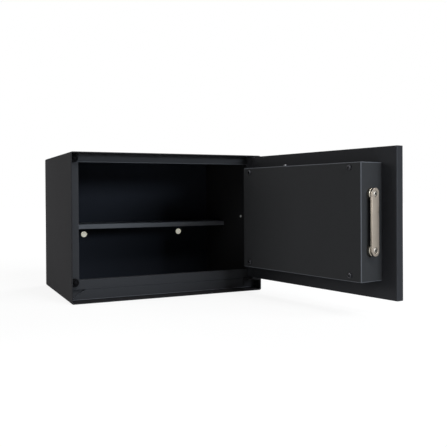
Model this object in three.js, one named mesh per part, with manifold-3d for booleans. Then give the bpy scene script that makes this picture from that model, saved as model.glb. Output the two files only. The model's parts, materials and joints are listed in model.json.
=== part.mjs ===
// A small swing door safe for a desk or a cupboard, standing with its door open.
// Millimetres, +Z up. The origin is the centre of the case's underside and the door side faces -Y.
// Every piece of the door is drawn where it lies with the door shut, and one turned group opens it.
import * as THREE from 'three';
import { mergeVertices } from 'three/addons/utils/BufferGeometryUtils.js';
import Module from 'manifold-3d';

const wasm = await Module();
wasm.setup();

// Clearance between pieces that rest on each other or pass through each other
const fit = 0.3;

// How far a cut runs past what it cuts, or a joined body reaches into its neighbour
const overrun = 1;

// Sides of round shapes, and steps of rounded corners and of holes drawn in an outline
const boltSides = 32;
const roundSides = 24;
const smallSides = 16;
const cornerSteps = 4;
const keyCornerSteps = 2;
const plateSteps = 8;
const domeSteps = 5;
const bevelSteps = 1;

// Case
const caseWidth = 350;
const caseDepth = 250;
const caseHeight = 250;
const caseSheet = 2;
const caseCornerRadius = 3;
const foldRadius = 1;

// Front frame that the bolts lock behind, and the toe panel under it
const frameSetBack = 24;
const frameSheet = 2.5;
const frameSideWidth = 15.3;
const frameTopWidth = 14;
const sillTop = 36.6;
const frameFoot = 20.5;
const frameLip = 8;
const toeSheet = 2;
const toeSetBack = 0.5;
const toeOverlap = 10;
const recessWidth = 28;
const recessDepth = 5;
const recessFoot = 1.5;

// Shelf and its two angle brackets
const shelfTop = 123;
const shelfDepth = 92;
const shelfSheet = 1.5;
const shelfLip = 8.5;
const bracketLeg = 15;
const bracketInset = 8;

// Rubber bumpers on the frame
const bumperRadius = 6.8;
const bumperGap = 0.5;
const bumperDome = 3.5;
const bumperEdgeGap = 0.8;
const bumperLowHeight = 33;

// Wall anchor holes in the back panel, and their plugs
const anchorSpacing = 205;
const anchorShift = 3;
const anchorHeight = 98.7;
const anchorHoleRadius = 5;
const plugFlange = 0.8;
const plugFace = 1.5;
const plugDimple = 0.6;
const plugChamfer = 0.5;

// Small screw on the right wall
const wallScrewSetBack = 78;
const wallScrewHeight = 135;
const wallScrewRadius = 2.4;
const wallScrewHead = 1.8;

// Door
const doorOpenAngle = 101;
const doorSideGap = 1.5;
const doorTopGap = 1;
const doorFoot = 24.5;
const doorThickness = 14.5;
const doorSheet = 2;
const doorEdgeRadius = 1.5;
const backPlateSheet = 1.2;
const backPlateInset = 0.5;
const hingeFlange = 18;
const hingeFlangeProud = 0.5;

// Hinge
const pivotFromEdge = 8.5;
const pivotFromFront = 5.5;
const pinRadius = 2;
const pinReach = 12;
const pinCollarRadius = 4.6;
const pinChamfer = 0.5;
const hingeBlockHeight = 12;
const hingeBlockReach = 6;
const hingeBracketTop = 22;
const hingeBracketLength = 24;
const hingeBracketSheet = 2.5;
const hingeBracketFoot = 6;

// Lock box on the inside of the door
const boxHingeInset = 46.5;
const boxFreeInset = 26.8;
const boxFootInset = 27;
const boxTopInset = 23;
const boxDepth = 44.4;
const boxSheet = 1.5;

// Screws
const coverScrewHingeInset = 17.7;
const coverScrewFreeInset = 21.4;
const coverScrewTopInset = 7.6;
const coverScrewFootInset = 9.2;
const screwHeadRadius = 4;
const screwHeadHeight = 2.2;
const screwShankRadius = 2;
const screwShankLength = 5;
const slotWidth = 1;
const slotDepth = 1;
const screwRimShare = 0.55;
const screwShoulderShare = 0.9;
const screwShoulderRadiusShare = 0.8;
const screwCrownRadiusShare = 0.5;
const screwRecessShare = 0.55;
const edgeScrewInset = 103;
const edgeScrewDepth = 38;
const edgeScrewRadius = 2.4;
const edgeScrewShankRadius = 1.2;
const edgeScrewHead = 2.4;

// Bolts and what moves with them
const boltRadius = 8.5;
const boltSpacing = 80.8;
const boltMiddle = 137.8;
const boltDepth = 24;
const boltProud = 4.9;
const boltLength = 54.5;
const boltChamfer = 0.6;
const barWidth = 14.7;
const barThickness = 4;
const barScrewRadius = 4;
const barScrewHead = 2;
const barFlat = 0.3;
const carrierThickness = 6;
const carrierWidth = 16;
const rackWidth = 8;
const rackLength = 60;
const rackBacking = 10;
const toothModule = 1;
const pinionTeeth = 16;
const pressureAngle = THREE.MathUtils.degToRad(20);
const toothBacklash = 0.3;
const rackToothHeight = 0.8;
const rackToothRoot = 1.3;
const pinionAlongRack = 34;
const pinionShaftRadius = 2.5;
const pinionToothHeight = 0.9;
const flankSteps = 4;
const shaftEngagement = 9;

// Brackets inside the lock box
const bracketSheet = 2;
const guideGap = 3.5;
const guideSpread = 24;
const guideHeight = 36;
const earLength = 12;
const channelInset = 26;
const channelWidth = 20;

// Drive, power and electronics
const gearboxSize = 38;
const gearboxDepth = 17;
const motorRadius = 10;
const motorLength = 38;
const batteryRadius = 7.1;
const batteryLength = 50;
const batteryCount = 4;
const trayWall = 1.6;
const trayDepthShare = 1.4;
const trayChannelGap = 6.6;
const trayFoot = 140;
const boardOverrideGap = 10.5;
const boardChannelGap = 9;
const boardFoot = 62;
const boardHeight = 62;
const boardStandOff = 6;
const boardSheet = 1.6;
const chipSize = 14;
const chipHeight = 2.5;
const chipInset = 12;
const relayHeight = 9;
const standOffInset = 5;
const standOffRadius = 2.5;
const cellTip = 1.5;

// Keypad unit on the front of the door
const keypadWidth = 82;
const keypadTop = 221;
const keypadDepth = 9;
const keypadWall = 2;
const keypadCorner = 12;
const keypadBevel = 1.6;
const keyWidth = 15;
const keyHeight = 12;
const keyCorner = 2;
const keyProud = 1.5;
const keyPitchAcross = 21;
const keyPitchDown = 19;
const lensToKeys = 13;
const keyFlange = 1.2;
const keyFlangeSheet = 1;
const keyLength = 7;
const keyLabels = [['1', '2', '3'], ['4', '5', '6'], ['7', '8', '9'], ['clear', '0', 'lock']];
const lensWidth = 56;
const lensHeight = 20;
const lensMargin = 10;
const keyBoardInset = 6;
const keyBoardMargin = 3;

// Override lock under the keys
const keysToOverride = 17;
const overrideMargin = 15;
const overrideRadius = 9.5;
const overrideCollar = 12;
const overrideCollarSheet = 2.5;
const overrideCollarChamfer = 0.8;
const barrelRadius = 6;
const keywayWidth = 2;
const keywayHeight = 8;
const keywayDepth = 12;
const overrideReach = 20;
const cableHoleRadius = 4.75;
const camFloorGap = 5;
const camWidth = 8;
const camSheet = 2.5;
const camFlat = 0.4;

// Places that follow from the sizes above
const caseFront = -caseDepth / 2;
const caseBack = caseDepth / 2;
const innerHalf = caseWidth / 2 - caseSheet;
const innerTop = caseHeight - caseSheet;
const frameFront = caseFront + frameSetBack;
const frameBack = frameFront + frameSheet;
const openingHalf = innerHalf - frameSideWidth;
const openingTop = innerTop - frameTopWidth;
const doorHingeEdge = innerHalf - doorSideGap;
const doorFreeEdge = -doorHingeEdge;
const doorTop = innerTop - doorTopGap;
const doorFace = caseFront + doorThickness;
const panBack = doorFace - backPlateSheet - fit;
const flangeEdge = doorHingeEdge - hingeFlange;
const flangeBack = doorFace + hingeFlangeProud;
const pivotX = doorHingeEdge - pivotFromEdge;
const pivotY = caseFront + pivotFromFront;
const boxHingeSide = doorHingeEdge - boxHingeInset;
const boxFreeSide = doorFreeEdge + boxFreeInset;
const boxFoot = doorFoot + boxFootInset;
const boxTop = doorTop - boxTopInset;
const boxFace = doorFace + boxDepth;
const boxSeat = doorFace + fit;
const boltY = doorFace + boltDepth;
const boltTip = boxFreeSide - boltProud;
const boltEnd = boltTip + boltLength;
const boltHeights = { top: boltMiddle + boltSpacing / 2, bottom: boltMiddle - boltSpacing / 2 };
const pitchRadius = toothModule * pinionTeeth / 2;
const rackPitchLine = boltMiddle - pitchRadius;
const rackStart = boltEnd + fit + carrierThickness;
const pinionX = rackStart + pinionAlongRack;
const coverScrewX = {
  hinge: boxHingeSide - coverScrewHingeInset,
  free: boxFreeSide + coverScrewFreeInset,
};
const coverScrewZ = {
  top: boxTop - coverScrewTopInset,
  bottom: boxFoot + coverScrewFootInset,
};
const earTop = boxFace - boxSheet - fit;
const channelLeft = boxHingeSide - channelInset;
const cellPitch = 2 * batteryRadius + 2 * fit;
const trayWidth = batteryCount * cellPitch + 2 * trayWall;
const trayLeft = channelLeft - trayChannelGap - trayWidth;
const boardLeft = overrideRadius + boardOverrideGap;
const boardRight = channelLeft - boardChannelGap;
const keypadBack = caseFront - fit;
const keypadFront = keypadBack - keypadDepth;
const keypadInside = keypadFront + keypadWall;
const lensMiddle = keypadTop - lensMargin - lensHeight / 2;
const keyTopRow = lensMiddle - lensHeight / 2 - lensToKeys - keyHeight / 2;
const keyLowRow = keyTopRow - (keyLabels.length - 1) * keyPitchDown;
const overrideHeight = keyLowRow - keyHeight / 2 - keysToOverride - overrideCollar;
const keypadFoot = overrideHeight - overrideCollar - overrideMargin;
const cableHeight = (keypadTop + keypadFoot) / 2;
const camLength = overrideHeight - boxFoot - boxSheet - camFloorGap;

// Finishes
function finish(color, roughness, metalness) {
  return new THREE.MeshStandardMaterial({ color, roughness, metalness });
}

const finishes = {
  charcoal: () => finish(0x34363b, 0.55, 0.2),
  darkSheet: () => finish(0x26282c, 0.6, 0.2),
  nickel: () => finish(0xb0aba2, 0.35, 0.9),
  blackScrew: () => finish(0x151517, 0.4, 0.6),
  zinc: () => finish(0x9a9c9f, 0.4, 0.9),
  rubber: () => finish(0x101012, 0.8, 0),
  cream: () => finish(0xc9c7b4, 0.6, 0),
  blackPlastic: () => finish(0x1a1b1d, 0.45, 0),
  keyPlastic: () => finish(0x3a3c40, 0.5, 0),
  lens: () => finish(0x2a0c10, 0.1, 0),
  circuit: () => finish(0x1f5a34, 0.5, 0),
  battery: () => finish(0x3c5a78, 0.4, 0.3),
  brass: () => finish(0xb08d4a, 0.35, 0.9),
};

// Geometry helpers
function block(x0, x1, y0, y1, z0, z1) {
  const geometry = new THREE.BoxGeometry(x1 - x0, y1 - y0, z1 - z0);
  return geometry.translate((x0 + x1) / 2, (y0 + y1) / 2, (z0 + z1) / 2);
}

function roundedOutline(x0, x1, z0, z1, radius) {
  const outline = new THREE.Shape();
  outline.absarc(x1 - radius, z1 - radius, radius, 0, Math.PI / 2);
  outline.absarc(x0 + radius, z1 - radius, radius, Math.PI / 2, Math.PI);
  outline.absarc(x0 + radius, z0 + radius, radius, Math.PI, 1.5 * Math.PI);
  outline.absarc(x1 - radius, z0 + radius, radius, 1.5 * Math.PI, 2 * Math.PI);
  outline.closePath();
  return outline;
}

function roundHole(x, z, radius) {
  return new THREE.Path().absarc(x, z, radius, 0, 2 * Math.PI);
}

// An outline drawn in X and Z, carried through the depth from y0 to y1
function alongDepth(outline, y0, y1, curveSegments = cornerSteps) {
  const shape = { depth: y1 - y0, bevelEnabled: false, curveSegments };
  const geometry = new THREE.ExtrudeGeometry(outline, shape);
  return geometry.rotateX(Math.PI / 2).translate(0, y1, 0);
}

// An outline drawn in X and Y, carried upwards from z0 to z1
function upwards(outline, z0, z1, curveSegments = cornerSteps) {
  const shape = { depth: z1 - z0, bevelEnabled: false, curveSegments };
  const geometry = new THREE.ExtrudeGeometry(outline, shape);
  return geometry.translate(0, 0, z0);
}

// A turned piece from [radius, height] pairs, standing along +Y
function turned(profile, segments = roundSides) {
  const points = profile.map(([radius, height]) => new THREE.Vector2(radius, height));
  return new THREE.LatheGeometry(points, segments);
}

function rod(radius, from, to, segments = roundSides) {
  return turned([[0, from], [radius, from], [radius, to], [0, to]], segments);
}

function solid(geometry) {
  const bare = geometry.clone();
  bare.deleteAttribute('normal');
  bare.deleteAttribute('uv');
  const merged = mergeVertices(bare);
  return new wasm.Manifold(new wasm.Mesh({
    numProp: 3,
    vertProperties: Float32Array.from(merged.attributes.position.array),
    triVerts: Uint32Array.from(merged.index.array),
  }));
}

function surface(manifold) {
  const mesh = manifold.getMesh();
  const geometry = new THREE.BufferGeometry();
  geometry.setAttribute('position', new THREE.BufferAttribute(mesh.vertProperties, 3));
  geometry.setIndex(new THREE.BufferAttribute(mesh.triVerts, 1));
  geometry.computeVertexNormals();
  return geometry;
}

function join(first, ...others) {
  return surface(others.reduce((whole, other) => whole.add(solid(other)), solid(first)));
}

function cut(body, ...tools) {
  return surface(tools.reduce((rest, tool) => rest.subtract(solid(tool)), solid(body)));
}

const safe = new THREE.Group();
const doorSwing = new THREE.Group();
const door = new THREE.Group();
doorSwing.position.set(pivotX, pivotY, 0);
doorSwing.rotation.z = THREE.MathUtils.degToRad(doorOpenAngle);
door.position.set(-pivotX, -pivotY, 0);
doorSwing.add(door);
safe.add(doorSwing);

function place(group, name, geometry, material) {
  const mesh = new THREE.Mesh(geometry, material());
  mesh.name = name;
  group.add(mesh);
}

// Case

function caseShell() {
  const outline = roundedOutline(-caseWidth / 2, caseWidth / 2, 0, caseHeight, caseCornerRadius);
  outline.holes.push(roundedOutline(-innerHalf, innerHalf, caseSheet, innerTop, foldRadius));
  return alongDepth(outline, caseFront, caseBack);
}

function anchorX(side) {
  return anchorShift + side * anchorSpacing / 2;
}

function backPanel() {
  const outline = roundedOutline(-innerHalf, innerHalf, caseSheet, innerTop, foldRadius + fit);
  for (const side of [-1, 1]) {
    outline.holes.push(roundHole(anchorX(side), anchorHeight, anchorHoleRadius));
  }
  return alongDepth(outline, caseBack - caseSheet, caseBack, plateSteps);
}

// The frame's opening has a short lip folded back along its top and its sill.
function frontFrame() {
  const outline = roundedOutline(-innerHalf, innerHalf, frameFoot, innerTop, foldRadius + fit);
  outline.holes.push(roundedOutline(-openingHalf, openingHalf, sillTop, openingTop, foldRadius));
  const lipHalf = openingHalf - foldRadius;
  const lipStart = frameFront + frameSheet / 2;
  const lips = [sillTop - frameSheet, openingTop].map((low) =>
    block(-lipHalf, lipHalf, lipStart, frameBack + frameLip, low, low + frameSheet));
  return join(alongDepth(outline, frameFront, frameBack), ...lips);
}

// The toe panel closes the gap under the frame, just behind its face, and laps up behind its foot.
// A slanting recess is pressed into its left end.
function toePanel() {
  const face = frameFront + toeSetBack;
  const lapFront = frameBack + fit;
  const lapBack = lapFront + toeSheet;
  const lapFoot = frameFoot - toeOverlap;
  const lapTop = frameFoot + toeOverlap;
  const foot = caseSheet + fit;
  const top = frameFoot - fit;
  const recessBack = face + recessDepth;
  const recessEnd = -innerHalf + recessWidth;
  const outline = roundedOutline(-innerHalf, innerHalf, foot, top, foldRadius + fit);
  const panel = join(
    alongDepth(outline, face, face + toeSheet),
    block(-innerHalf, innerHalf, face, lapBack, lapFoot, top),
    block(-innerHalf, innerHalf, lapFront, lapBack, lapFoot, lapTop),
    block(-innerHalf, recessEnd, face, recessBack + toeSheet, caseSheet + foldRadius, top),
    block(-innerHalf, recessEnd, lapFront, recessBack + toeSheet, caseSheet + foldRadius, lapTop),
  );
  const recess = new THREE.Shape([
    new THREE.Vector2(-innerHalf - overrun, caseSheet + recessFoot),
    new THREE.Vector2(recessEnd, frameFoot),
    new THREE.Vector2(-innerHalf - overrun, frameFoot),
  ]);
  return cut(panel, alongDepth(recess, face - overrun, recessBack));
}

function shelf() {
  const half = innerHalf - fit;
  const back = caseBack - caseSheet - fit;
  const front = back - shelfDepth;
  return join(
    block(-half, half, front, back, shelfTop - shelfSheet, shelfTop),
    block(-half, half, front, front + shelfSheet, shelfTop - shelfLip, shelfTop),
  );
}

function shelfBracket(side) {
  const back = caseBack - caseSheet - bracketInset;
  const front = back - shelfDepth + 2 * bracketInset;
  const top = shelfTop - shelfSheet;
  const wall = side * innerHalf;
  const inner = side * (innerHalf - shelfSheet);
  const tip = side * (innerHalf - bracketLeg);
  return join(
    block(Math.min(wall, tip), Math.max(wall, tip), front, back, top - shelfSheet, top),
    block(Math.min(wall, inner), Math.max(wall, inner), front, back, top - bracketLeg, top),
  );
}

function bumper(height) {
  const tall = frameSetBack - doorThickness - bumperGap;
  const profile = [[0, 0], [bumperRadius, 0]];
  for (let i = 0; i < domeSteps; i++) {
    const angle = i / domeSteps * Math.PI / 2;
    profile.push([bumperRadius * Math.cos(angle), tall - bumperDome * (1 - Math.sin(angle))]);
  }
  profile.push([0, tall]);
  const x = -innerHalf + bumperRadius + bumperEdgeGap;
  return turned(profile).rotateX(Math.PI).translate(x, frameFront, height);
}

// A plastic plug with a dimpled face: its stem fills an anchor hole from inside the case.
function anchorPlug(side) {
  const rim = anchorHoleRadius + plugFlange;
  const stem = anchorHoleRadius - fit;
  const stemLength = caseSheet - fit;
  const profile = [
    [0, -stemLength], [stem, -stemLength], [stem, 0], [rim, 0],
    [rim, plugFace - plugChamfer], [rim - plugChamfer, plugFace], [rim / 2, plugFace],
    [rim / 2 - plugChamfer, plugFace - plugDimple], [0, plugFace - plugDimple],
  ];
  return turned(profile).rotateX(Math.PI).translate(anchorX(side), caseBack - caseSheet, anchorHeight);
}

function wallScrew() {
  const profile = [
    [0, 0], [wallScrewRadius, 0], [wallScrewRadius, wallScrewHead / 2],
    [wallScrewRadius / 2, wallScrewHead], [0, wallScrewHead],
  ];
  const head = turned(profile, smallSides).rotateZ(Math.PI / 2);
  return head.translate(innerHalf, caseFront + wallScrewSetBack, wallScrewHeight);
}

// A hinge pin with a collar that the door runs on, drawn upwards from its seat
function hingePin(seat, doorEnd) {
  const collar = Math.abs(doorEnd - seat) - fit;
  const shoulder = collar + pinReach;
  const profile = [
    [0, 0], [pinCollarRadius, 0], [pinCollarRadius, collar], [pinRadius, collar],
    [pinRadius, shoulder], [pinRadius - pinChamfer, shoulder + pinChamfer], [0, shoulder + pinChamfer],
  ];
  const upright = turned(profile).rotateX(seat < doorEnd ? Math.PI / 2 : -Math.PI / 2);
  return upright.translate(pivotX, pivotY, seat);
}

// Angle bracket under the door's hinge side, with its leg on the frame
function hingeBracket() {
  const tip = innerHalf - hingeBracketLength;
  const legFront = frameFront - hingeBracketSheet;
  const seatFoot = hingeBracketTop - hingeBracketSheet;
  return join(
    block(tip, innerHalf, caseFront + fit, frameFront, seatFoot, hingeBracketTop),
    block(tip, innerHalf, legFront, frameFront, hingeBracketFoot, hingeBracketTop),
  );
}

place(safe, 'case_shell', caseShell(), finishes.charcoal);
place(safe, 'back_panel', backPanel(), finishes.charcoal);
place(safe, 'front_frame', frontFrame(), finishes.charcoal);
place(safe, 'toe_panel', toePanel(), finishes.charcoal);
place(safe, 'shelf', shelf(), finishes.darkSheet);
place(safe, 'shelf_bracket_left', shelfBracket(-1), finishes.darkSheet);
place(safe, 'shelf_bracket_right', shelfBracket(1), finishes.darkSheet);
place(safe, 'bumper_top', bumper(innerTop - bumperRadius - bumperEdgeGap), finishes.rubber);
place(safe, 'bumper_bottom', bumper(bumperLowHeight), finishes.rubber);
place(safe, 'anchor_plug_left', anchorPlug(-1), finishes.cream);
place(safe, 'anchor_plug_right', anchorPlug(1), finishes.cream);
place(safe, 'wall_screw', wallScrew(), finishes.nickel);
place(safe, 'hinge_pin_top', hingePin(innerTop, doorTop), finishes.blackScrew);
place(safe, 'hinge_pin_bottom', hingePin(hingeBracketTop, doorFoot), finishes.blackScrew);
place(safe, 'hinge_bracket', hingeBracket(), finishes.charcoal);

// Door leaf

// Folded tray that is the door's outer skin. Its hinge side turns back as a flange that stands a little
// proud of the back plate.
function doorPan() {
  const outline = roundedOutline(doorFreeEdge, doorHingeEdge, caseFront, flangeBack, doorEdgeRadius);
  const x0 = doorFreeEdge + doorSheet;
  const x1 = doorHingeEdge - doorSheet;
  const inside = caseFront + doorSheet;
  const z0 = doorFoot + doorSheet;
  const z1 = doorTop - doorSheet;
  const low = doorFoot - overrun;
  const high = doorTop + overrun;
  const pinHole = rod(pinRadius + fit, low, high).rotateX(Math.PI / 2);
  const overrideHole = rod(overrideRadius + fit, caseFront - overrun, inside + overrun);
  const cableHole = rod(cableHoleRadius, caseFront - overrun, inside + overrun);
  return cut(
    upwards(outline, doorFoot, doorTop),
    block(doorFreeEdge - overrun, flangeEdge, panBack, flangeBack + overrun, low, high),
    block(x0, flangeEdge, inside, panBack + overrun, z0, z1),
    block(x0, x1, inside, panBack - doorSheet, z0, z1),
    block(flangeEdge + doorSheet, x1, inside, flangeBack - doorSheet, z0, z1),
    pinHole.translate(pivotX, pivotY, 0),
    overrideHole.translate(0, 0, overrideHeight),
    cableHole.translate(0, 0, cableHeight),
  );
}

function doorBackPlate() {
  const plate = roundedOutline(doorFreeEdge + backPlateInset, flangeEdge - fit,
    doorFoot + backPlateInset, doorTop - backPlateInset, foldRadius);
  plate.holes.push(roundHole(0, overrideHeight, overrideRadius + fit));
  plate.holes.push(roundHole(0, cableHeight, cableHoleRadius));
  return alongDepth(plate, doorFace - backPlateSheet, doorFace, plateSteps);
}

// Block inside the leaf that a hinge pin runs in
function hingeBlock(z0) {
  const z1 = z0 + hingeBlockHeight;
  const front = caseFront + doorSheet + fit;
  const back = panBack - doorSheet - fit;
  const body = block(pivotX - hingeBlockReach, doorHingeEdge - doorSheet - fit, front, back, z0, z1);
  const bore = rod(pinRadius + fit, z0 - overrun, z1 + overrun).rotateX(Math.PI / 2);
  return cut(body, bore.translate(pivotX, pivotY, 0));
}

place(door, 'door_pan', doorPan(), finishes.charcoal);
place(door, 'door_back_plate', doorBackPlate(), finishes.charcoal);
place(door, 'hinge_block_bottom', hingeBlock(doorFoot + doorSheet + fit), finishes.zinc);
place(door, 'hinge_block_top', hingeBlock(doorTop - doorSheet - fit - hingeBlockHeight), finishes.zinc);

// Lock box

function boltHole(height, radius, x0, x1) {
  return rod(radius, x0, x1, boltSides).rotateZ(-Math.PI / 2).translate(0, boltY, height);
}

function coverScrewHole(x, z, y0, y1) {
  return rod(screwShankRadius + fit, y0, y1, smallSides).translate(x, 0, z);
}

function edgeScrewX() {
  return boxHingeSide - edgeScrewInset;
}

function lockCover() {
  const holes = [];
  for (const height of Object.values(boltHeights)) {
    holes.push(boltHole(height, boltRadius + fit, boxFreeSide - overrun, boxFreeSide + boxSheet + overrun));
  }
  for (const x of Object.values(coverScrewX)) {
    for (const z of Object.values(coverScrewZ)) {
      holes.push(coverScrewHole(x, z, boxFace - boxSheet - overrun, boxFace + overrun));
    }
  }
  const edgeHole = rod(edgeScrewShankRadius + fit, -boxSheet - overrun, overrun, smallSides);
  holes.push(edgeHole.rotateX(Math.PI / 2).translate(edgeScrewX(), doorFace + edgeScrewDepth, boxTop));
  const inside = block(boxFreeSide + boxSheet, boxHingeSide - boxSheet, boxSeat - overrun, boxFace - boxSheet,
    boxFoot + boxSheet, boxTop - boxSheet);
  return cut(block(boxFreeSide, boxHingeSide, boxSeat, boxFace, boxFoot, boxTop), inside, ...holes);
}

// A pan head screw along +Y with a cross slot, its head's underside at height 0
function screw(headRadius, headHeight, shankRadius, shankLength) {
  const profile = [
    [0, -shankLength], [shankRadius, -shankLength], [shankRadius, 0], [headRadius, 0],
    [headRadius, headHeight * screwRimShare],
    [headRadius * screwShoulderRadiusShare, headHeight * screwShoulderShare],
    [headRadius * screwCrownRadiusShare, headHeight], [0, headHeight],
  ];
  const arm = headRadius * screwRecessShare;
  const half = slotWidth / 2;
  const slotFoot = headHeight - slotDepth;
  return cut(
    turned(profile, smallSides),
    block(-arm, arm, slotFoot, headHeight + overrun, -half, half),
    block(-half, half, slotFoot, headHeight + overrun, -arm, arm),
  );
}

// Bracket that guides both bolts and takes the cover's two screws on the bolt side
function boltGuide() {
  const outer = boxFreeSide + guideGap;
  const inner = outer + guideSpread;
  const back = boxSeat;
  const foot = boxFoot + guideGap;
  const top = boxTop - guideGap;
  const pieces = [block(outer, inner + bracketSheet, back, back + bracketSheet, foot, top)];
  for (const x of [outer, inner]) {
    pieces.push(block(x, x + bracketSheet, back, doorFace + guideHeight, foot, top));
  }
  for (const [z0, z1] of [[foot, foot + earLength], [top - earLength, top]]) {
    pieces.push(block(outer, outer + bracketSheet, back, earTop, z0, z1));
    pieces.push(block(outer, inner + bracketSheet, earTop - bracketSheet, earTop, z0, z1));
  }
  const holes = [];
  for (const height of Object.values(boltHeights)) {
    holes.push(boltHole(height, boltRadius + fit, outer - overrun, inner + bracketSheet + overrun));
  }
  for (const z of Object.values(coverScrewZ)) {
    holes.push(coverScrewHole(coverScrewX.free, z, earTop - bracketSheet - overrun, earTop + overrun));
  }
  return cut(join(...pieces), ...holes);
}

// Channel that takes the cover's two screws on the hinge side
function coverChannel() {
  const right = channelLeft + channelWidth;
  const foot = boxFoot + guideGap;
  const top = boxTop - guideGap;
  const channel = join(
    block(channelLeft, right, boxSeat, boxSeat + bracketSheet, foot, top),
    block(channelLeft, channelLeft + bracketSheet, boxSeat, earTop, foot, top),
    block(channelLeft, right, earTop - bracketSheet, earTop, foot, top),
  );
  const holes = Object.values(coverScrewZ).map((z) =>
    coverScrewHole(coverScrewX.hinge, z, earTop - bracketSheet - overrun, earTop + overrun));
  return cut(channel, ...holes);
}

place(door, 'lock_cover', lockCover(), finishes.charcoal);
place(door, 'bolt_guide', boltGuide(), finishes.zinc);
place(door, 'cover_channel', coverChannel(), finishes.zinc);
for (const [side, x] of Object.entries(coverScrewX)) {
  for (const [level, z] of Object.entries(coverScrewZ)) {
    const geometry = screw(screwHeadRadius, screwHeadHeight, screwShankRadius, screwShankLength);
    place(door, `cover_screw_${side}_${level}`, geometry.translate(x, boxFace + fit, z), finishes.blackScrew);
  }
}

function edgeScrew() {
  const geometry = screw(edgeScrewRadius, edgeScrewHead, edgeScrewShankRadius, screwShankLength);
  return geometry.rotateX(Math.PI / 2).translate(edgeScrewX(), doorFace + edgeScrewDepth, boxTop + fit);
}

place(door, 'cover_edge_screw', edgeScrew(), finishes.nickel);

// Bolt work, drawn with the bolts drawn back

function bolt(height) {
  const profile = [
    [0, boltTip], [boltRadius - boltChamfer, boltTip], [boltRadius, boltTip + boltChamfer],
    [boltRadius, boltEnd], [0, boltEnd],
  ];
  const shank = turned(profile, boltSides).rotateZ(-Math.PI / 2).translate(0, boltY, height);
  const holeEnd = boltTip + screwShankLength + overrun;
  const screwHole = rod(screwShankRadius + fit, boltTip - overrun, holeEnd, smallSides);
  return cut(shank, screwHole.rotateZ(-Math.PI / 2).translate(0, boltY, height));
}

function barFace() {
  return boltTip - fit - barThickness;
}

// Round ended bar that ties the bolts' tips together, with a sunk seat for each screw
function boltBar() {
  const half = barWidth / 2;
  const low = boltHeights.bottom - boltRadius;
  const high = boltHeights.top + boltRadius;
  const outline = roundedOutline(-half, half, low, high, half - barFlat / 2);
  const bar = alongDepth(outline, barFace(), barFace() + barThickness, plateSteps).rotateZ(-Math.PI / 2);
  const holes = [];
  for (const height of Object.values(boltHeights)) {
    const seat = rod(barScrewRadius + fit, barFace() - overrun, barFace() + barScrewHead + fit, smallSides);
    const through = rod(screwShankRadius + fit, barFace() - overrun, boltTip, smallSides);
    holes.push(seat.rotateZ(-Math.PI / 2).translate(0, boltY, height));
    holes.push(through.rotateZ(-Math.PI / 2).translate(0, boltY, height));
  }
  return cut(bar.translate(0, boltY, 0), ...holes);
}

function barScrew(height) {
  const geometry = screw(barScrewRadius, barScrewHead, screwShankRadius, screwShankLength);
  return geometry.rotateZ(Math.PI / 2).translate(barFace() + barScrewHead, boltY, height);
}

// Straight sided rack teeth along the top of a bar, as [x, z] points from its right end to its left end
function rackTeeth(left, right) {
  const pitch = Math.PI * toothModule;
  const slope = Math.tan(pressureAngle);
  const half = (pitch - toothBacklash) / 4;
  const tip = rackPitchLine + rackToothHeight;
  const root = rackPitchLine - rackToothRoot;
  const points = [];
  const last = Math.floor((right - pinionX) / pitch - 1);
  const first = Math.ceil((left - pinionX) / pitch);
  for (let i = last; i >= first; i--) {
    const middle = pinionX + (i + 0.5) * pitch;
    const halfRoot = half + rackToothRoot * slope;
    const halfTip = half - rackToothHeight * slope;
    points.push([middle + halfRoot, root], [middle + halfTip, tip]);
    points.push([middle - halfTip, tip], [middle - halfRoot, root]);
  }
  return points;
}

// Plate across the bolts' inner ends. A rack runs from it under the pinion.
function boltCarrier() {
  const plateStart = boltEnd + fit;
  const half = carrierWidth / 2;
  const plate = block(plateStart, rackStart, boltY - half, boltY + half,
    boltHeights.bottom - half, boltHeights.top + half);
  const left = rackStart - carrierThickness / 2;
  const right = rackStart + rackLength;
  const root = rackPitchLine - rackToothRoot;
  const outline = [[left, root], [left, root - rackBacking], [right, root - rackBacking], [right, root],
    ...rackTeeth(rackStart, right)];
  const rack = new THREE.Shape(outline.map(([x, z]) => new THREE.Vector2(x, z)));
  return join(plate, alongDepth(rack, boltY - rackWidth / 2, boltY + rackWidth / 2));
}

// Involute outline of the pinion with one tooth pointing straight down into the rack
function pinionOutline() {
  const base = pitchRadius * Math.cos(pressureAngle);
  const tip = pitchRadius + pinionToothHeight;
  const root = pitchRadius - rackToothRoot;
  const involute = (angle) => Math.tan(angle) - angle;
  const halfAtPitch = (Math.PI * toothModule - toothBacklash) / (4 * pitchRadius);
  const halfAtBase = halfAtPitch + involute(pressureAngle);
  const flank = [[root, halfAtBase]];
  for (let i = 0; i <= flankSteps; i++) {
    const radius = base + (tip - base) * i / flankSteps;
    flank.push([radius, halfAtBase - involute(Math.acos(base / radius))]);
  }
  const points = [];
  for (let tooth = 0; tooth < pinionTeeth; tooth++) {
    const middle = -Math.PI / 2 + tooth * 2 * Math.PI / pinionTeeth;
    const rising = flank.map(([radius, half]) => [radius, middle - half]);
    const falling = flank.map(([radius, half]) => [radius, middle + half]).reverse();
    for (const [radius, angle] of [...rising, ...falling]) {
      const x = pinionX + radius * Math.cos(angle);
      points.push(new THREE.Vector2(x, boltMiddle + radius * Math.sin(angle)));
    }
  }
  return new THREE.Shape(points);
}

function drivePinion() {
  const gearBack = boltY - rackWidth / 2;
  const shaftFoot = boxSeat + gearboxDepth - shaftEngagement;
  const shaft = rod(pinionShaftRadius, shaftFoot, gearBack + overrun).translate(pinionX, 0, boltMiddle);
  return join(alongDepth(pinionOutline(), gearBack, boltY + rackWidth / 2), shaft);
}

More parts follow.
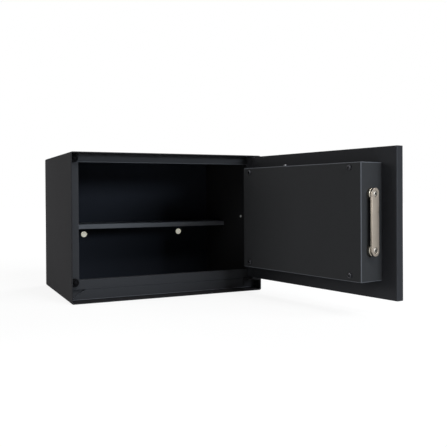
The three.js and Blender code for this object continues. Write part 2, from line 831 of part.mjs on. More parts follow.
place(door, 'bolt_top', bolt(boltHeights.top), finishes.nickel);
place(door, 'bolt_bottom', bolt(boltHeights.bottom), finishes.nickel);
place(door, 'bolt_bar', boltBar(), finishes.nickel);
for (const [level, height] of Object.entries(boltHeights)) {
  place(door, `bar_screw_${level}`, barScrew(height), finishes.zinc);
}
place(door, 'bolt_carrier', boltCarrier(), finishes.zinc);
place(door, 'drive_pinion', drivePinion(), finishes.brass);

// Drive, power and electronics inside the lock box

// Gearbox with its motor standing on top, bored for the pinion's shaft
function gearMotor() {
  const half = gearboxSize / 2;
  const foot = boltMiddle - half;
  const top = boltMiddle + half;
  const back = boxSeat + gearboxDepth;
  const gearbox = block(pinionX - half, pinionX + half, boxSeat, back, foot, top);
  const motor = rod(motorRadius, top - overrun, top + motorLength).rotateX(Math.PI / 2);
  const bore = rod(pinionShaftRadius + fit, back - shaftEngagement - fit, boltY);
  return cut(
    join(gearbox, motor.translate(pinionX, boxSeat + motorRadius, 0)),
    bore.translate(pinionX, 0, boltMiddle),
  );
}

function batteryTray() {
  const right = trayLeft + trayWidth;
  const top = trayFoot + batteryLength + 2 * fit + 2 * trayWall;
  const back = boxSeat + trayWall + fit + trayDepthShare * batteryRadius;
  const inside = block(trayLeft + trayWall, right - trayWall, boxSeat + trayWall, back + overrun,
    trayFoot + trayWall, top - trayWall);
  return cut(block(trayLeft, right, boxSeat, back, trayFoot, top), inside);
}

// A dry cell standing on its flat end
function battery(index) {
  const shoulder = batteryLength - cellTip;
  const nub = batteryRadius / 3;
  const profile = [
    [0, 0], [batteryRadius, 0], [batteryRadius, shoulder],
    [nub, shoulder], [nub, batteryLength], [0, batteryLength],
  ];
  const x = trayLeft + trayWall + (index + 0.5) * cellPitch;
  const y = boxSeat + trayWall + fit + batteryRadius;
  return turned(profile).rotateX(Math.PI / 2).translate(x, y, trayFoot + trayWall + fit);
}

// Lock circuit board on four stand-offs, with its processor and relay
function circuitBoard() {
  const underside = boxSeat + boardStandOff;
  const face = underside + boardSheet;
  const sunk = face - boardSheet / 2;
  const top = boardFoot + boardHeight;
  const pieces = [block(boardLeft, boardRight, underside, face, boardFoot, top)];
  for (const x of [boardLeft + standOffInset, boardRight - standOffInset]) {
    for (const z of [boardFoot + standOffInset, top - standOffInset]) {
      pieces.push(rod(standOffRadius, boxSeat, sunk, smallSides).translate(x, 0, z));
    }
  }
  const middle = (boardFoot + top) / 2;
  const chipLeft = boardLeft + chipInset;
  const relayLeft = boardRight - chipInset - chipSize;
  pieces.push(block(chipLeft, chipLeft + chipSize, sunk, face + chipHeight, middle, middle + chipSize));
  pieces.push(block(relayLeft, relayLeft + chipSize, sunk, face + relayHeight, middle - chipSize, middle));
  return join(...pieces);
}

place(door, 'gear_motor', gearMotor(), finishes.zinc);
place(door, 'battery_tray', batteryTray(), finishes.blackPlastic);
for (let i = 0; i < batteryCount; i++) {
  place(door, `battery_${i + 1}`, battery(i), finishes.battery);
}
place(door, 'circuit_board', circuitBoard(), finishes.circuit);

// Keypad unit on the front of the door

function keyOutline(row, column, margin) {
  const x = (column - (keyLabels[row].length - 1) / 2) * keyPitchAcross;
  const z = keyTopRow - row * keyPitchDown;
  const halfWidth = keyWidth / 2 + margin;
  const halfHeight = keyHeight / 2 + margin;
  return roundedOutline(x - halfWidth, x + halfWidth, z - halfHeight, z + halfHeight, keyCorner + margin);
}

function lensOutline(margin) {
  const halfWidth = lensWidth / 2 + margin;
  const halfHeight = lensHeight / 2 + margin;
  const low = lensMiddle - halfHeight;
  const high = lensMiddle + halfHeight;
  return roundedOutline(-halfWidth, halfWidth, low, high, keyCorner + margin);
}

// Moulded shell with a softened front edge, open towards the door
function keypadHousing() {
  const halfWidth = keypadWidth / 2;
  const insideHalf = halfWidth - keypadWall;
  const insideFoot = keypadFoot + keypadWall;
  const insideTop = keypadTop - keypadWall;
  const outline = roundedOutline(-halfWidth, halfWidth, keypadFoot, keypadTop, keypadCorner);
  const shell = new THREE.ExtrudeGeometry(outline, {
    depth: keypadDepth,
    bevelThickness: keypadBevel,
    bevelSize: keypadBevel,
    bevelOffset: -keypadBevel,
    bevelSegments: bevelSteps,
    curveSegments: cornerSteps,
  });
  shell.rotateX(Math.PI / 2).translate(0, keypadFront + keypadBevel + keypadDepth, 0);
  const inside = roundedOutline(-insideHalf, insideHalf, insideFoot, insideTop, keypadCorner - keypadWall);
  const through = [lensOutline(fit)];
  keyLabels.forEach((row, r) => row.forEach((label, c) => through.push(keyOutline(r, c, fit))));
  const before = keypadFront - overrun;
  const behind = keypadInside + overrun;
  return cut(
    shell,
    block(-keypadWidth, keypadWidth, keypadBack, keypadBack + 2 * keypadDepth,
      keypadFoot - overrun, keypadTop + overrun),
    alongDepth(inside, keypadInside, keypadBack + overrun),
    ...through.map((shape) => alongDepth(shape, before, behind, keyCornerSteps)),
    rod(overrideRadius + fit, before, behind).translate(0, 0, overrideHeight),
  );
}

// A key cap with a flange that stops it behind the face
function key(row, column) {
  const front = keypadFront - keyProud;
  const flangeFront = keypadInside + fit;
  const flangeBackFace = flangeFront + keyFlangeSheet;
  return join(
    alongDepth(keyOutline(row, column, 0), front, front + keyLength, keyCornerSteps),
    alongDepth(keyOutline(row, column, keyFlange), flangeFront, flangeBackFace, keyCornerSteps),
  );
}

function displayLens() {
  const flangeFront = keypadInside + fit;
  return join(
    alongDepth(lensOutline(0), keypadFront + fit, flangeFront + keyFlangeSheet / 2, keyCornerSteps),
    alongDepth(lensOutline(keyFlange), flangeFront, flangeFront + keyFlangeSheet, keyCornerSteps),
  );
}

function keyBoard() {
  const half = keypadWidth / 2 - keyBoardInset;
  const foot = keyLowRow - keyHeight / 2 - keyBoardMargin;
  const top = lensMiddle + lensHeight / 2 + keyBoardMargin;
  return block(-half, half, keypadBack - boardSheet, keypadBack, foot, top);
}

// Fixed body of the override lock, from its collar on the keypad to its end inside the lock box
function overrideBody() {
  const bore = barrelRadius + fit;
  const seat = keypadFront - fit;
  const front = seat - overrideCollarSheet;
  const end = doorFace + overrideReach;
  const profile = [
    [bore, front], [overrideCollar - overrideCollarChamfer, front],
    [overrideCollar, front + overrideCollarChamfer], [overrideCollar, seat],
    [overrideRadius, seat], [overrideRadius, end], [bore, end], [bore, front],
  ];
  return turned(profile).translate(0, 0, overrideHeight);
}

// Turning barrel with its keyway in front and its cam behind, drawn with the cam pointing down
function overrideBarrel() {
  const front = keypadFront - overrideCollarSheet;
  const camFront = doorFace + overrideReach + fit;
  const camBack = camFront + camSheet;
  const half = camWidth / 2;
  const cam = roundedOutline(-half, half, -camLength, half, half - camFlat / 2);
  const barrel = join(rod(barrelRadius, front, camBack), alongDepth(cam, camFront, camBack));
  const halfWide = keywayWidth / 2;
  const halfTall = keywayHeight / 2;
  const keyway = block(-halfWide, halfWide, front - overrun, front + keywayDepth, -halfTall, halfTall);
  return cut(barrel, keyway).translate(0, 0, overrideHeight);
}

place(door, 'keypad_housing', keypadHousing(), finishes.blackPlastic);
place(door, 'display_lens', displayLens(), finishes.lens);
place(door, 'key_board', keyBoard(), finishes.circuit);
keyLabels.forEach((row, r) => row.forEach((label, c) => {
  place(door, `key_${label}`, key(r, c), finishes.keyPlastic);
}));
place(door, 'override_body', overrideBody(), finishes.zinc);
place(door, 'override_barrel', overrideBarrel(), finishes.brass);

export default safe;
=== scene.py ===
"""A small door safe standing open: its finely shaped pieces, its finishes, its light and its camera."""
import json
import math

import bmesh
import bpy
from mathutils import Matrix, Vector


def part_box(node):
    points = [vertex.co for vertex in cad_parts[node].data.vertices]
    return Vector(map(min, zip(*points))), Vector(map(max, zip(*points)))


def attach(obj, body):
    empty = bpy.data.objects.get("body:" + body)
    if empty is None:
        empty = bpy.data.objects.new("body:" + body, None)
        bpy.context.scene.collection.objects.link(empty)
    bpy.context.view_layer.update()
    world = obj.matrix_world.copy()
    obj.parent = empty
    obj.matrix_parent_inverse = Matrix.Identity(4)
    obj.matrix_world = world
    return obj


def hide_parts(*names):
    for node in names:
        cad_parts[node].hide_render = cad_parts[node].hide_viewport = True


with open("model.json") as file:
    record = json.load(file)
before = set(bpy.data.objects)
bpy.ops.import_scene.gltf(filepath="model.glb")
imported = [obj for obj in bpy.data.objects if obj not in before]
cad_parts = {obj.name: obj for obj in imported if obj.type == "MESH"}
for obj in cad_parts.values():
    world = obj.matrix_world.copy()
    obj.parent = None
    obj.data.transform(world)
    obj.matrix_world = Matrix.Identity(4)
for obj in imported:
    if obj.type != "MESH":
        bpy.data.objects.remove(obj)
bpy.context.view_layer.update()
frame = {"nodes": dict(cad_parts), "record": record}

MM = 0.001

# The door's hinge, and the turn that opens it from shut to where it stands at rest
HINGE = next(j for j in frame["record"]["behaviour"]["joints"] if j["name"] == "door_hinge")
PIVOT = Vector(HINGE["pos_m"])
DOOR_ANGLE = math.radians(-HINGE["range_deg"][0])
OPEN = Matrix.Translation(PIVOT) @ Matrix.Rotation(DOOR_ANGLE, 4, "Z") @ Matrix.Translation(-PIVOT)
SHUT = OPEN.inverted()

# Sheets, folds and gaps. A cutter centred on a sheet goes through it when it is THROUGH sheets long.
GAP = 0.3 * MM
THROUGH = 4
CASE_SHEET = 2 * MM
CASE_CORNER = 3 * MM
FRAME_SHEET = 2.5 * MM
FRAME_SIDE = 15.3 * MM
FRAME_TOP = 14 * MM
FRAME_SILL = 16.1 * MM
TOE_SHEET = 2 * MM
TOE_OVERLAP = 10 * MM
RECESS_WIDTH = 28 * MM
RECESS_DEPTH = 5 * MM
RECESS_FOOT = 1.2 * MM
SHELF_SHEET = 1.5 * MM
BRACKET_SHEET = 2.5 * MM
DOOR_SHEET = 2 * MM
DOOR_EDGE = 1.5 * MM
HINGE_FLANGE = 18 * MM
FLANGE_STEP = 2.1 * MM
COVER_SHEET = 1.5 * MM
COVER_FOLD = 1.8 * MM
TOE_FOLD = 1.4 * MM
FOLD_RADIUS = 1.6 * MM

# Widths of the broken edges
FINE_EDGE = 0.3 * MM
CASE_EDGE = 0.6 * MM
TOE_EDGE = 0.4 * MM
SHEET_EDGE = 0.25 * MM
COVER_EDGE = 0.2 * MM
BAR_EDGE = 0.35 * MM
TURNED_EDGE = 0.1 * MM
PIN_EDGE = 0.05 * MM
HOUSING_EDGE = 0.35 * MM
LENS_EDGE = 0.4 * MM
KEY_EDGE = 0.12 * MM
SLEEVE_EDGE = 0.08 * MM
BARREL_EDGE = 0.12 * MM

# Tests of places and directions: how near counts as there, and how much of a direction of length 1 lies
# along an axis when it runs nearly or squarely along it, or has much or some of it
CLOSE = 0.3 * MM
NEARLY = 0.9
SQUARELY = 0.99
MUCH = 0.6
SOME = 0.2

# Rubber stops, in shares of their radius and of their height
STOP_RING = 0.66
STOP_CROWN = 0.55
STOP_ROUND = 0.25
STOP_SHOULDER = 0.72
STOP_GROOVE = 0.55

# Anchor plugs: the dimple in a share of the rim's radius, the rest in shares of the face's height
ANCHOR_HOLE = 5 * MM
PLUG_DIMPLE = 0.36
PLUG_ROUND = 0.5
PLUG_SLOPE = 0.25
PLUG_LEDGE = 0.8
PLUG_BOWL = 0.62
PLUG_FLOOR = 0.56

# Screws as head radius, head height, shank radius and shank length
COVER_SCREW = (4 * MM, 2.2 * MM, 2 * MM, 5 * MM)
BAR_SCREW = (4 * MM, 2 * MM, 2 * MM, 5 * MM)
EDGE_SCREW = (2.4 * MM, 2.4 * MM, 1.2 * MM, 5 * MM)
WALL_SCREW = (2.4 * MM, 1.8 * MM, 1.2 * MM, 1.2 * MM)

# A screw head in shares: its crown's height, its cross's reach, width and narrower foot, the room round
# the cross that belongs to it, and the broken edges
CROWN_SHARE = 0.55
CROSS_REACH = 0.72
CROSS_WIDTH = 0.22
CROSS_TAPER = 0.55
CROSS_ROOM = 1.2
SCREW_EDGE = 0.03

# Pins, holes, bolts and their bar
PIN_RADIUS = 2 * MM
PIN_REACH = 12.5 * MM
PIN_ROUND = 0.8 * MM
PIN_COLLAR_ROUND = 0.2 * MM
SHANK_HOLE = 2.3 * MM
EDGE_SHANK_HOLE = 1.5 * MM
BOLT_ROUND = 0.6 * MM
BOLT_DRILLED = 6 * MM
END_FLAT = 0.15 * MM
SCREW_SEAT = 2.3 * MM

# Keypad unit
KEYPAD_CORNER = 12 * MM
KEYPAD_EDGE = 1.8 * MM
KEYPAD_WALL = 2 * MM
KEY_CORNER = 2 * MM
KEY_SHOULDER = 0.7 * MM
KEY_RIM = 0.8 * MM
KEY_SLOPE = 1.2 * MM
KEY_DISH = 0.25 * MM
KEY_FLANGE = 1.2 * MM
KEY_FLANGE_SHEET = 1 * MM
KEY_LENGTH = 7 * MM
KEY_PROUD = 1.5 * MM
LEGEND_HEIGHT = 6 * MM
LEGEND_PROUD = 0.04 * MM
COLLAR_SHEET = 2.5 * MM
COLLAR_ROUND = 0.8 * MM
COLLAR_SUNK = 0.6 * MM
COLLAR_LIP = 1.6 * MM
BARREL_RADIUS = 6 * MM
BARREL_ROUND = 0.4 * MM
SLEEVE_RADIUS = 9.5 * MM
KEYWAY = (2 * MM, 12 * MM, 8 * MM)
CAM_SHEET = 2.5 * MM
CAM_WIDTH = 8 * MM


# Finding nodes

def shut_box(node):
    """Lowest and highest corner of a door node with the door shut."""
    points = [SHUT @ v.co for v in frame["nodes"][node].data.vertices]
    low = Vector(min(p[i] for p in points) for i in range(3))
    high = Vector(max(p[i] for p in points) for i in range(3))
    return low, high


def middle(box):
    """Centre of a box given by its lowest and highest corner."""
    return (box[0] + box[1]) / 2


# Modelling helpers

def only(piece):
    """Make a piece the only selected one, and the active one."""
    bpy.ops.object.select_all(action="DESELECT")
    piece.select_set(True)
    bpy.context.view_layer.objects.active = piece


def named(name):
    """Name the shape that was just added, and move its place and size into its mesh."""
    piece = bpy.context.object
    piece.name = name
    bpy.ops.object.transform_apply(location=True, rotation=True, scale=True)
    return piece


def block(name, low, high):
    """A cuboid between two corners."""
    bpy.ops.object.select_all(action="DESELECT")
    low, high = Vector(low), Vector(high)
    bpy.ops.mesh.primitive_cube_add(size=1, location=(low + high) / 2, scale=high - low)
    return named(name)


def drum(name, centre, radius, length, axis, sides=48):
    """A cylinder about a point, along one axis."""
    turns = {"X": (0, math.pi / 2, 0), "Y": (math.pi / 2, 0, 0), "Z": (0, 0, 0)}
    bpy.ops.object.select_all(action="DESELECT")
    bpy.ops.mesh.primitive_cylinder_add(vertices=sides, radius=radius, depth=length, location=centre,
                                        rotation=turns[axis])
    return named(name)


def turned(name, foot, direction, profile, sides=48):
    """A turned piece: (radius, height) points, from the axis back to it or round a ring, spun on its foot."""
    bpy.ops.object.select_all(action="DESELECT")
    bpy.ops.mesh.primitive_plane_add(size=MM)
    piece = named(name)
    bpy.context.tool_settings.mesh_select_mode = (True, False, False)
    bpy.ops.object.mode_set(mode="EDIT")
    bpy.ops.mesh.select_all(action="SELECT")
    bpy.ops.mesh.merge(type="CENTER")
    bpy.ops.transform.translate(value=(profile[0][0], 0, profile[0][1]))
    for (radius, height), (next_radius, next_height) in zip(profile, profile[1:]):
        step = (next_radius - radius, 0, next_height - height)
        bpy.ops.mesh.extrude_vertices_move(TRANSFORM_OT_translate={"value": step})
    bpy.ops.mesh.select_all(action="SELECT")
    bpy.ops.mesh.spin(steps=sides, angle=2 * math.pi, center=(0, 0, 0), axis=(0, 0, 1))
    bpy.ops.mesh.select_all(action="SELECT")
    bpy.ops.mesh.remove_doubles(threshold=MM / 1000)
    bpy.ops.mesh.normals_make_consistent(inside=False)
    leave_edit()
    lean = Vector((0, 0, 1)).rotation_difference(Vector(direction)).to_matrix().to_4x4()
    piece.data.transform(Matrix.Translation(foot) @ lean)
    return piece


def rounded(corner_radius, corner_height, size, steps=4):
    """Profile points of a quarter round that ends a wall and turns inwards over the top."""
    angles = [i / steps * math.pi / 2 for i in range(steps + 1)]
    return [(corner_radius - size + size * math.cos(a), corner_height - size + size * math.sin(a))
            for a in angles]


def dome(radius, foot, rise, steps=4):
    """Profile points of a low dome, from its edge at one height up to near the axis."""
    angles = [i / steps * math.pi / 2 for i in range(steps)]
    return [(radius * math.cos(a), foot + rise * math.sin(a)) for a in angles]


def choose(piece, faces=None, edges=None):
    """Select the faces or the edges that pass a test, in edit mode."""
    only(piece)
    bpy.ops.object.mode_set(mode="EDIT")
    bpy.context.tool_settings.mesh_select_mode = (False, edges is not None, faces is not None)
    bpy.ops.mesh.select_all(action="DESELECT")
    mesh = bmesh.from_edit_mesh(piece.data)
    for face in mesh.faces if faces else ():
        face.select_set(bool(faces(face.calc_center_median(), face.normal)))
    for edge in mesh.edges if edges else ():
        start, end = edge.verts[0].co, edge.verts[1].co
        if edges((start + end) / 2, (end - start).normalized()):
            edge.select_set(True)
    mesh.select_flush_mode()
    bmesh.update_edit_mesh(piece.data)


def leave_edit():
    bpy.ops.object.mode_set(mode="OBJECT")


def runs_deep(at, along):
    """Whether an edge runs from front to back."""
    return abs(along.y) > NEARLY


def round_edges(piece, test, width, steps=4):
    """Round the edges that pass a test."""
    choose(piece, edges=test)
    bpy.ops.mesh.bevel(offset=width, segments=steps, affect="EDGES")
    leave_edit()


def remove_faces(piece, test):
    """Open a piece where its faces pass a test."""
    choose(piece, faces=test)
    bpy.ops.mesh.delete(type="FACE")
    leave_edit()


def keep_side(piece, point, normal):
    """Cut a piece along a plane, close the cut, and drop what lies on the normal's side."""
    only(piece)
    bpy.ops.object.mode_set(mode="EDIT")
    bpy.ops.mesh.select_all(action="SELECT")
    bpy.ops.mesh.bisect(plane_co=point, plane_no=normal, clear_outer=True, use_fill=True)
    leave_edit()


def modify(piece, kind, **values):
    """Add one modifier and apply it."""
    only(piece)
    modifier = piece.modifiers.new(kind, kind)
    for key, value in values.items():
        setattr(modifier, key, value)
    bpy.ops.object.modifier_apply(modifier=modifier.name)


def cut(piece, *tools):
    """Take tools out of a piece, and use them up."""
    for tool in tools:
        modify(piece, "BOOLEAN", operation="DIFFERENCE", object=tool, solver="EXACT")
        bpy.data.objects.remove(tool)


def weld(piece, *others):
    """Make other shapes one with a piece, and use them up."""
    for other in others:
        modify(piece, "BOOLEAN", operation="UNION", object=other, solver="EXACT")
        bpy.data.objects.remove(other)


def soften(piece, width=FINE_EDGE, steps=2, angle=40):
    """Break every sharp edge and shade the piece smoothly round it."""
    modify(piece, "BEVEL", width=width, segments=steps, limit_method="ANGLE", angle_limit=math.radians(angle))
    only(piece)
    bpy.ops.object.shade_smooth_by_angle(angle=math.radians(angle))
    modify(piece, "WEIGHTED_NORMAL", keep_sharp=True)


def sheet_walls(piece, thickness):
    """Give an open skin the thickness of its sheet, on its inner side."""
    modify(piece, "SOLIDIFY", thickness=thickness, offset=-1, use_even_offset=True)


def copied(model, name, place):
    """A copy of a modelled piece with its own mesh, put in its place."""
    piece = model.copy()
    piece.data = model.data.copy()
    piece.name = name
    bpy.context.scene.collection.objects.link(piece)
    piece.data.transform(place)
    return piece


def second_tone(piece, material, test):
    """Give the faces that pass a test a material of their own. The piece's first is for finish to give."""
    piece.data.materials.append(None)
    piece.data.materials.append(material)
    choose(piece, faces=test)
    piece.active_material_index = 1
    bpy.ops.object.material_slot_assign()
    leave_edit()


def finish(piece, material, body, node=None):
    """Open a piece with the door unless it is the case's, give it its material and body, and hide the node it
    stands for.
    """
    if body != "case":
        piece.data.transform(OPEN)
    if not piece.data.materials:
        piece.data.materials.append(None)
    piece.data.materials[0] = material
    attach(piece, body)
    if node:
        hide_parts(node)


# Node groups for effects that several finishes share. Scales are in waves per metre, and levels from 0 to 1.

SLOW_SCALE = 6.0
STAIN_SCALE = 70.0
SPECK_SCALE = 45.0
SPECKS = (0.35, 0.8)
LOOKS_UP = 0.7
# Where the painted highlight on folds starts and where it is full, and its colour
FOLD_STARTS = 0.98
FOLD_FULL = 0.8
PAINTED_HIGHLIGHT_TONE = (122, 126, 134)
DUST_TONE = (150, 148, 144)
SURFACE = [("Colour", "NodeSocketColor"), ("Roughness", "NodeSocketFloat"), ("Height", "NodeSocketFloat")]


def new_group(name, inputs, outputs):
    """A node group with named sockets, and its input and output nodes."""
    group = bpy.data.node_groups.new(name, "ShaderNodeTree")
    for label, kind, value in inputs:
        made = group.interface.new_socket(label, in_out="INPUT", socket_type=kind)
        made.default_value = value
    for label, kind in outputs:
        group.interface.new_socket(label, in_out="OUTPUT", socket_type=kind)
    return group, group.nodes.new("NodeGroupInput"), group.nodes.new("NodeGroupOutput")


def add(tree, kind, links=(), **values):
    """A node with its settings, and its inputs by name set or linked."""
    node = tree.nodes.new(kind)
    for key, value in values.items():
        setattr(node, key, value)
    for label, value in links:
        if isinstance(value, bpy.types.NodeSocket):
            tree.links.new(value, node.inputs[label])
        else:
            node.inputs[label].default_value = value
    return node


def sums(tree, operation, first, second):
    """The output of one Math node."""
    return add(tree, "ShaderNodeMath", [(0, first), (1, second)], operation=operation).outputs[0]


def between(tree, value, start, end):
    """How far a value has gone from one limit to the other, from 0 to 1."""
    limits = [("Value", value), ("From Min", start), ("From Max", end)]
    return add(tree, "ShaderNodeMapRange", limits).outputs[0]


def noise(tree, where, scale, **settings):
    """The pattern of one Noise Texture node, from 0 to 1."""
    links = [("Vector", where), ("Scale", scale), *settings.items()]
    return add(tree, "ShaderNodeTexNoise", links).outputs["Fac"]


def put_out_surface(group, given, result, fine, slow, sway):
    """Colour and roughness that sway with a fine and a slow pattern, and the fine one as the height."""
    swing = sums(group, "SUBTRACT", sums(group, "ADD", fine, slow), 1.0)
    value = sums(group, "ADD", sums(group, "MULTIPLY", swing, given.outputs[sway]), 1.0)
    tinted = add(group, "ShaderNodeHueSaturation", [("Color", given.outputs["Colour"]), ("Value", value)])
    uneven = sums(group, "MULTIPLY", swing, given.outputs["Vary"])
    rough = sums(group, "ADD", uneven, given.outputs["Roughness"])
    for label, value in (("Colour", tinted.outputs["Color"]), ("Roughness", rough), ("Height", fine)):
        group.links.new(value, result.inputs[label])


def grain_group():
    """Fine bumps of a sprayed or moulded skin, with slow changes of tone and gloss."""
    group, given, result = new_group(
        "skin_grain",
        [("Colour", "NodeSocketColor", (0.5, 0.5, 0.5, 1)), ("Grain", "NodeSocketFloat", 1400),
         ("Tone", "NodeSocketFloat", 0.1), ("Roughness", "NodeSocketFloat", 0.5),
         ("Vary", "NodeSocketFloat", 0.08)],
        SURFACE,
    )
    where = add(group, "ShaderNodeTexCoord").outputs["Object"]
    grain = noise(group, where, given.outputs["Grain"], Detail=3.0)
    put_out_surface(group, given, result, grain, noise(group, where, SLOW_SCALE, Detail=2.0), "Tone")
    return group


def painted_highlight_group():
    """Rounded folds and edges of a square piece, as a mask for a painted highlight that stands for the coat's
    shine.

    They are where no axis has nearly all of the direction that the surface faces.
    """
    group, given, result = new_group(
        "painted_fold_highlight",
        [("Turn", "NodeSocketVector", (0, 0, 0)), ("Amount", "NodeSocketFloat", 0.5)],
        [("Mask", "NodeSocketFloat")],
    )
    facing = add(group, "ShaderNodeTexCoord").outputs["Normal"]
    square = add(group, "ShaderNodeMapping", [("Vector", facing), ("Rotation", given.outputs["Turn"])])
    shares = add(group, "ShaderNodeVectorMath", [(0, square.outputs[0])], operation="ABSOLUTE").outputs[0]
    parts = add(group, "ShaderNodeSeparateXYZ", [(0, shares)]).outputs
    largest = sums(group, "MAXIMUM", sums(group, "MAXIMUM", parts["X"], parts["Y"]), parts["Z"])
    folded = between(group, largest, FOLD_STARTS, FOLD_FULL)
    mask = sums(group, "MULTIPLY", folded, given.outputs["Amount"])
    group.links.new(mask, result.inputs["Mask"])
    return group


def dust_group():
    """Thin dust that lies on faces looking up, as a mask from 0 to 1."""
    group, given, result = new_group("settled_dust", [("Amount", "NodeSocketFloat", 0.1)],
                                     [("Mask", "NodeSocketFloat")])
    where = add(group, "ShaderNodeTexCoord").outputs
    up = add(group, "ShaderNodeSeparateXYZ", [(0, where["Normal"])]).outputs["Z"]
    facing = between(group, up, LOOKS_UP, 1.0)
    specks = between(group, noise(group, where["Object"], SPECK_SCALE, Detail=8.0, Roughness=0.7), *SPECKS)
    mask = sums(group, "MULTIPLY", sums(group, "MULTIPLY", facing, specks), given.outputs["Amount"])
    group.links.new(mask, result.inputs["Mask"])
    return group


def brush_group():
    """Long fine scratches along one direction, for plated and machined metal."""
    group, given, result = new_group(
        "brushed_lines",
        [("Turn", "NodeSocketVector", (0, 0, 0)), ("Stretch", "NodeSocketVector", (1, 1, 1)),
         ("Colour", "NodeSocketColor", (0.6, 0.6, 0.6, 1)), ("Roughness", "NodeSocketFloat", 0.35),
         ("Vary", "NodeSocketFloat", 0.2)],
        SURFACE,
    )
    where = add(group, "ShaderNodeTexCoord").outputs["Object"]
    straight = add(group, "ShaderNodeMapping", [("Vector", where), ("Rotation", given.outputs["Turn"])])
    drawn = add(group, "ShaderNodeVectorMath",
                [(0, straight.outputs[0]), (1, given.outputs["Stretch"])], operation="MULTIPLY")
    lines = noise(group, drawn.outputs[0], 1.0, Detail=4.0)
    put_out_surface(group, given, result, lines, noise(group, where, STAIN_SCALE, Detail=3.0), "Vary")
    return group


GRAIN = grain_group()
PAINTED_HIGHLIGHT = painted_highlight_group()
DUST = dust_group()
BRUSH = brush_group()


# Finishes

LINE_DEPTH = 0.01 * MM


def linear(red, green, blue):
    """A colour given as it looks on a screen, from 0 to 255, as the shader needs it."""
    levels = [c / 255 for c in (red, green, blue)]
    return (*[c / 12.92 if c <= 0.04045 else ((c + 0.055) / 1.055) ** 2.4 for c in levels], 1.0)


def new_material(name, metallic=0.0, **sockets):
    """A material whose Principled shader has the named sockets set, with its tree and its shader."""
    material = bpy.data.materials.new(name)
    material.use_nodes = True
    tree = material.node_tree
    shader = tree.nodes["Principled BSDF"]
    shader.inputs["Metallic"].default_value = metallic
    for label, value in sockets.items():
        shader.inputs[label.replace("_", " ")].default_value = value
    return material, tree, shader


def place_group(tree, group, **values):
    """The outputs of a node group with its inputs set."""
    node = add(tree, "ShaderNodeGroup", node_tree=group)
    for label, value in values.items():
        node.inputs[label].default_value = value
    return node.outputs


def mix_colours(tree, mask, below, above):
    """One colour laid over another by a mask. Sockets 6 and 7 are the Mix node's two colours."""
    mix = add(tree, "ShaderNodeMix", data_type="RGBA")
    tree.links.new(mask, mix.inputs["Factor"])
    tree.links.new(below, mix.inputs[6])
    mix.inputs[7].default_value = above
    return mix.outputs[2]


def bump(tree, shader, height, distance):
    """Raise a shader's surface by a height from 0 to 1 times a distance."""
    node = add(tree, "ShaderNodeBump", [("Height", height), ("Distance", distance)])
    tree.links.new(node.outputs["Normal"], shader.inputs["Normal"])


def skin(name, colour, roughness, grain=1400.0, tone=0.1, depth=0.04 * MM, highlight_amount=0.0, turn=(0, 0, 0),
         dust=0.0, **sockets):
    """A sprayed or moulded surface: fine grain, a painted highlight on folds and a little dust."""
    material, tree, shader = new_material(name, **sockets)
    base = place_group(tree, GRAIN, Colour=linear(*colour), Grain=grain, Tone=tone, Roughness=roughness)
    result = base["Colour"]
    # Painted highlight on the folds
    if highlight_amount:
        folded = place_group(tree, PAINTED_HIGHLIGHT, Amount=highlight_amount, Turn=turn)["Mask"]
        result = mix_colours(tree, folded, result, linear(*PAINTED_HIGHLIGHT_TONE))
    if dust:
        dusty = place_group(tree, DUST, Amount=dust)["Mask"]
        result = mix_colours(tree, dusty, result, linear(*DUST_TONE))
    tree.links.new(result, shader.inputs["Base Color"])
    tree.links.new(base["Roughness"], shader.inputs["Roughness"])
    bump(tree, shader, base["Height"], depth)
    return material


def metal(name, colour, roughness, stretch, turn=(0, 0, 0), vary=0.2, metallic=1.0):
    """A plated or machined metal with fine drawn lines."""
    material, tree, shader = new_material(name, metallic=metallic)
    lines = place_group(tree, BRUSH, Turn=turn, Stretch=stretch, Colour=linear(*colour), Roughness=roughness,
                        Vary=vary)
    tree.links.new(lines["Colour"], shader.inputs["Base Color"])
    tree.links.new(lines["Roughness"], shader.inputs["Roughness"])
    bump(tree, shader, lines["Height"], LINE_DEPTH)
    return material


# The turn back to the shut door's axes, and drawn lines in waves per metre along each axis
DOOR_TURN = (0, 0, -DOOR_ANGLE)
ALONG_X = (60, 5000, 5000)
ALONG_Z = (5000, 5000, 60)

# One sprayed coat, set to a tone for each group of pieces: some groups are lighter or darker as painted light
# or shade, and folds get a painted highlight
PAINT = {"tone": 0.03, "depth": 0.006 * MM, "dust": 0.03, "Specular_IOR_Level": 0.025}
case_paint = skin("case_paint", (43, 43, 45), 0.78, **PAINT)
# Lighter than the case's coat: painted light on the frame and the toe
lit_front_paint = skin("lit_front_paint", (55, 56, 59), 0.78, highlight_amount=0.55, **PAINT)
# Painted highlight along the toe's bottom fold
painted_edge_highlight = skin("painted_edge_highlight", (100, 101, 106), 0.7, **PAINT)
# Darker and bluer than the case's coat: painted shade inside the case
shaded_inner_paint = skin("shaded_inner_paint", (38, 41, 48), 0.78, **PAINT)
# Much lighter than the case's coat, with a painted highlight on its fold
shelf_paint = skin("shelf_paint", (96, 99, 104), 0.78, highlight_amount=0.3, **PAINT)
# The door's leaf and the lock's box get a painted highlight on their folds
leaf_paint = skin("leaf_paint", (46, 47, 50), 0.76, highlight_amount=0.15, turn=DOOR_TURN, **PAINT)
box_paint = skin("box_paint", (48, 49, 51), 0.76, highlight_amount=0.55, turn=DOOR_TURN, **PAINT)

nickel = metal("satin_nickel", (158, 149, 139), 0.34, ALONG_Z, DOOR_TURN)
bolt_nickel = metal("bolt_nickel", (214, 206, 190), 0.22, ALONG_X, DOOR_TURN)
zinc = metal("zinc_plate", (150, 145, 138), 0.5, ALONG_Z, vary=0.3)
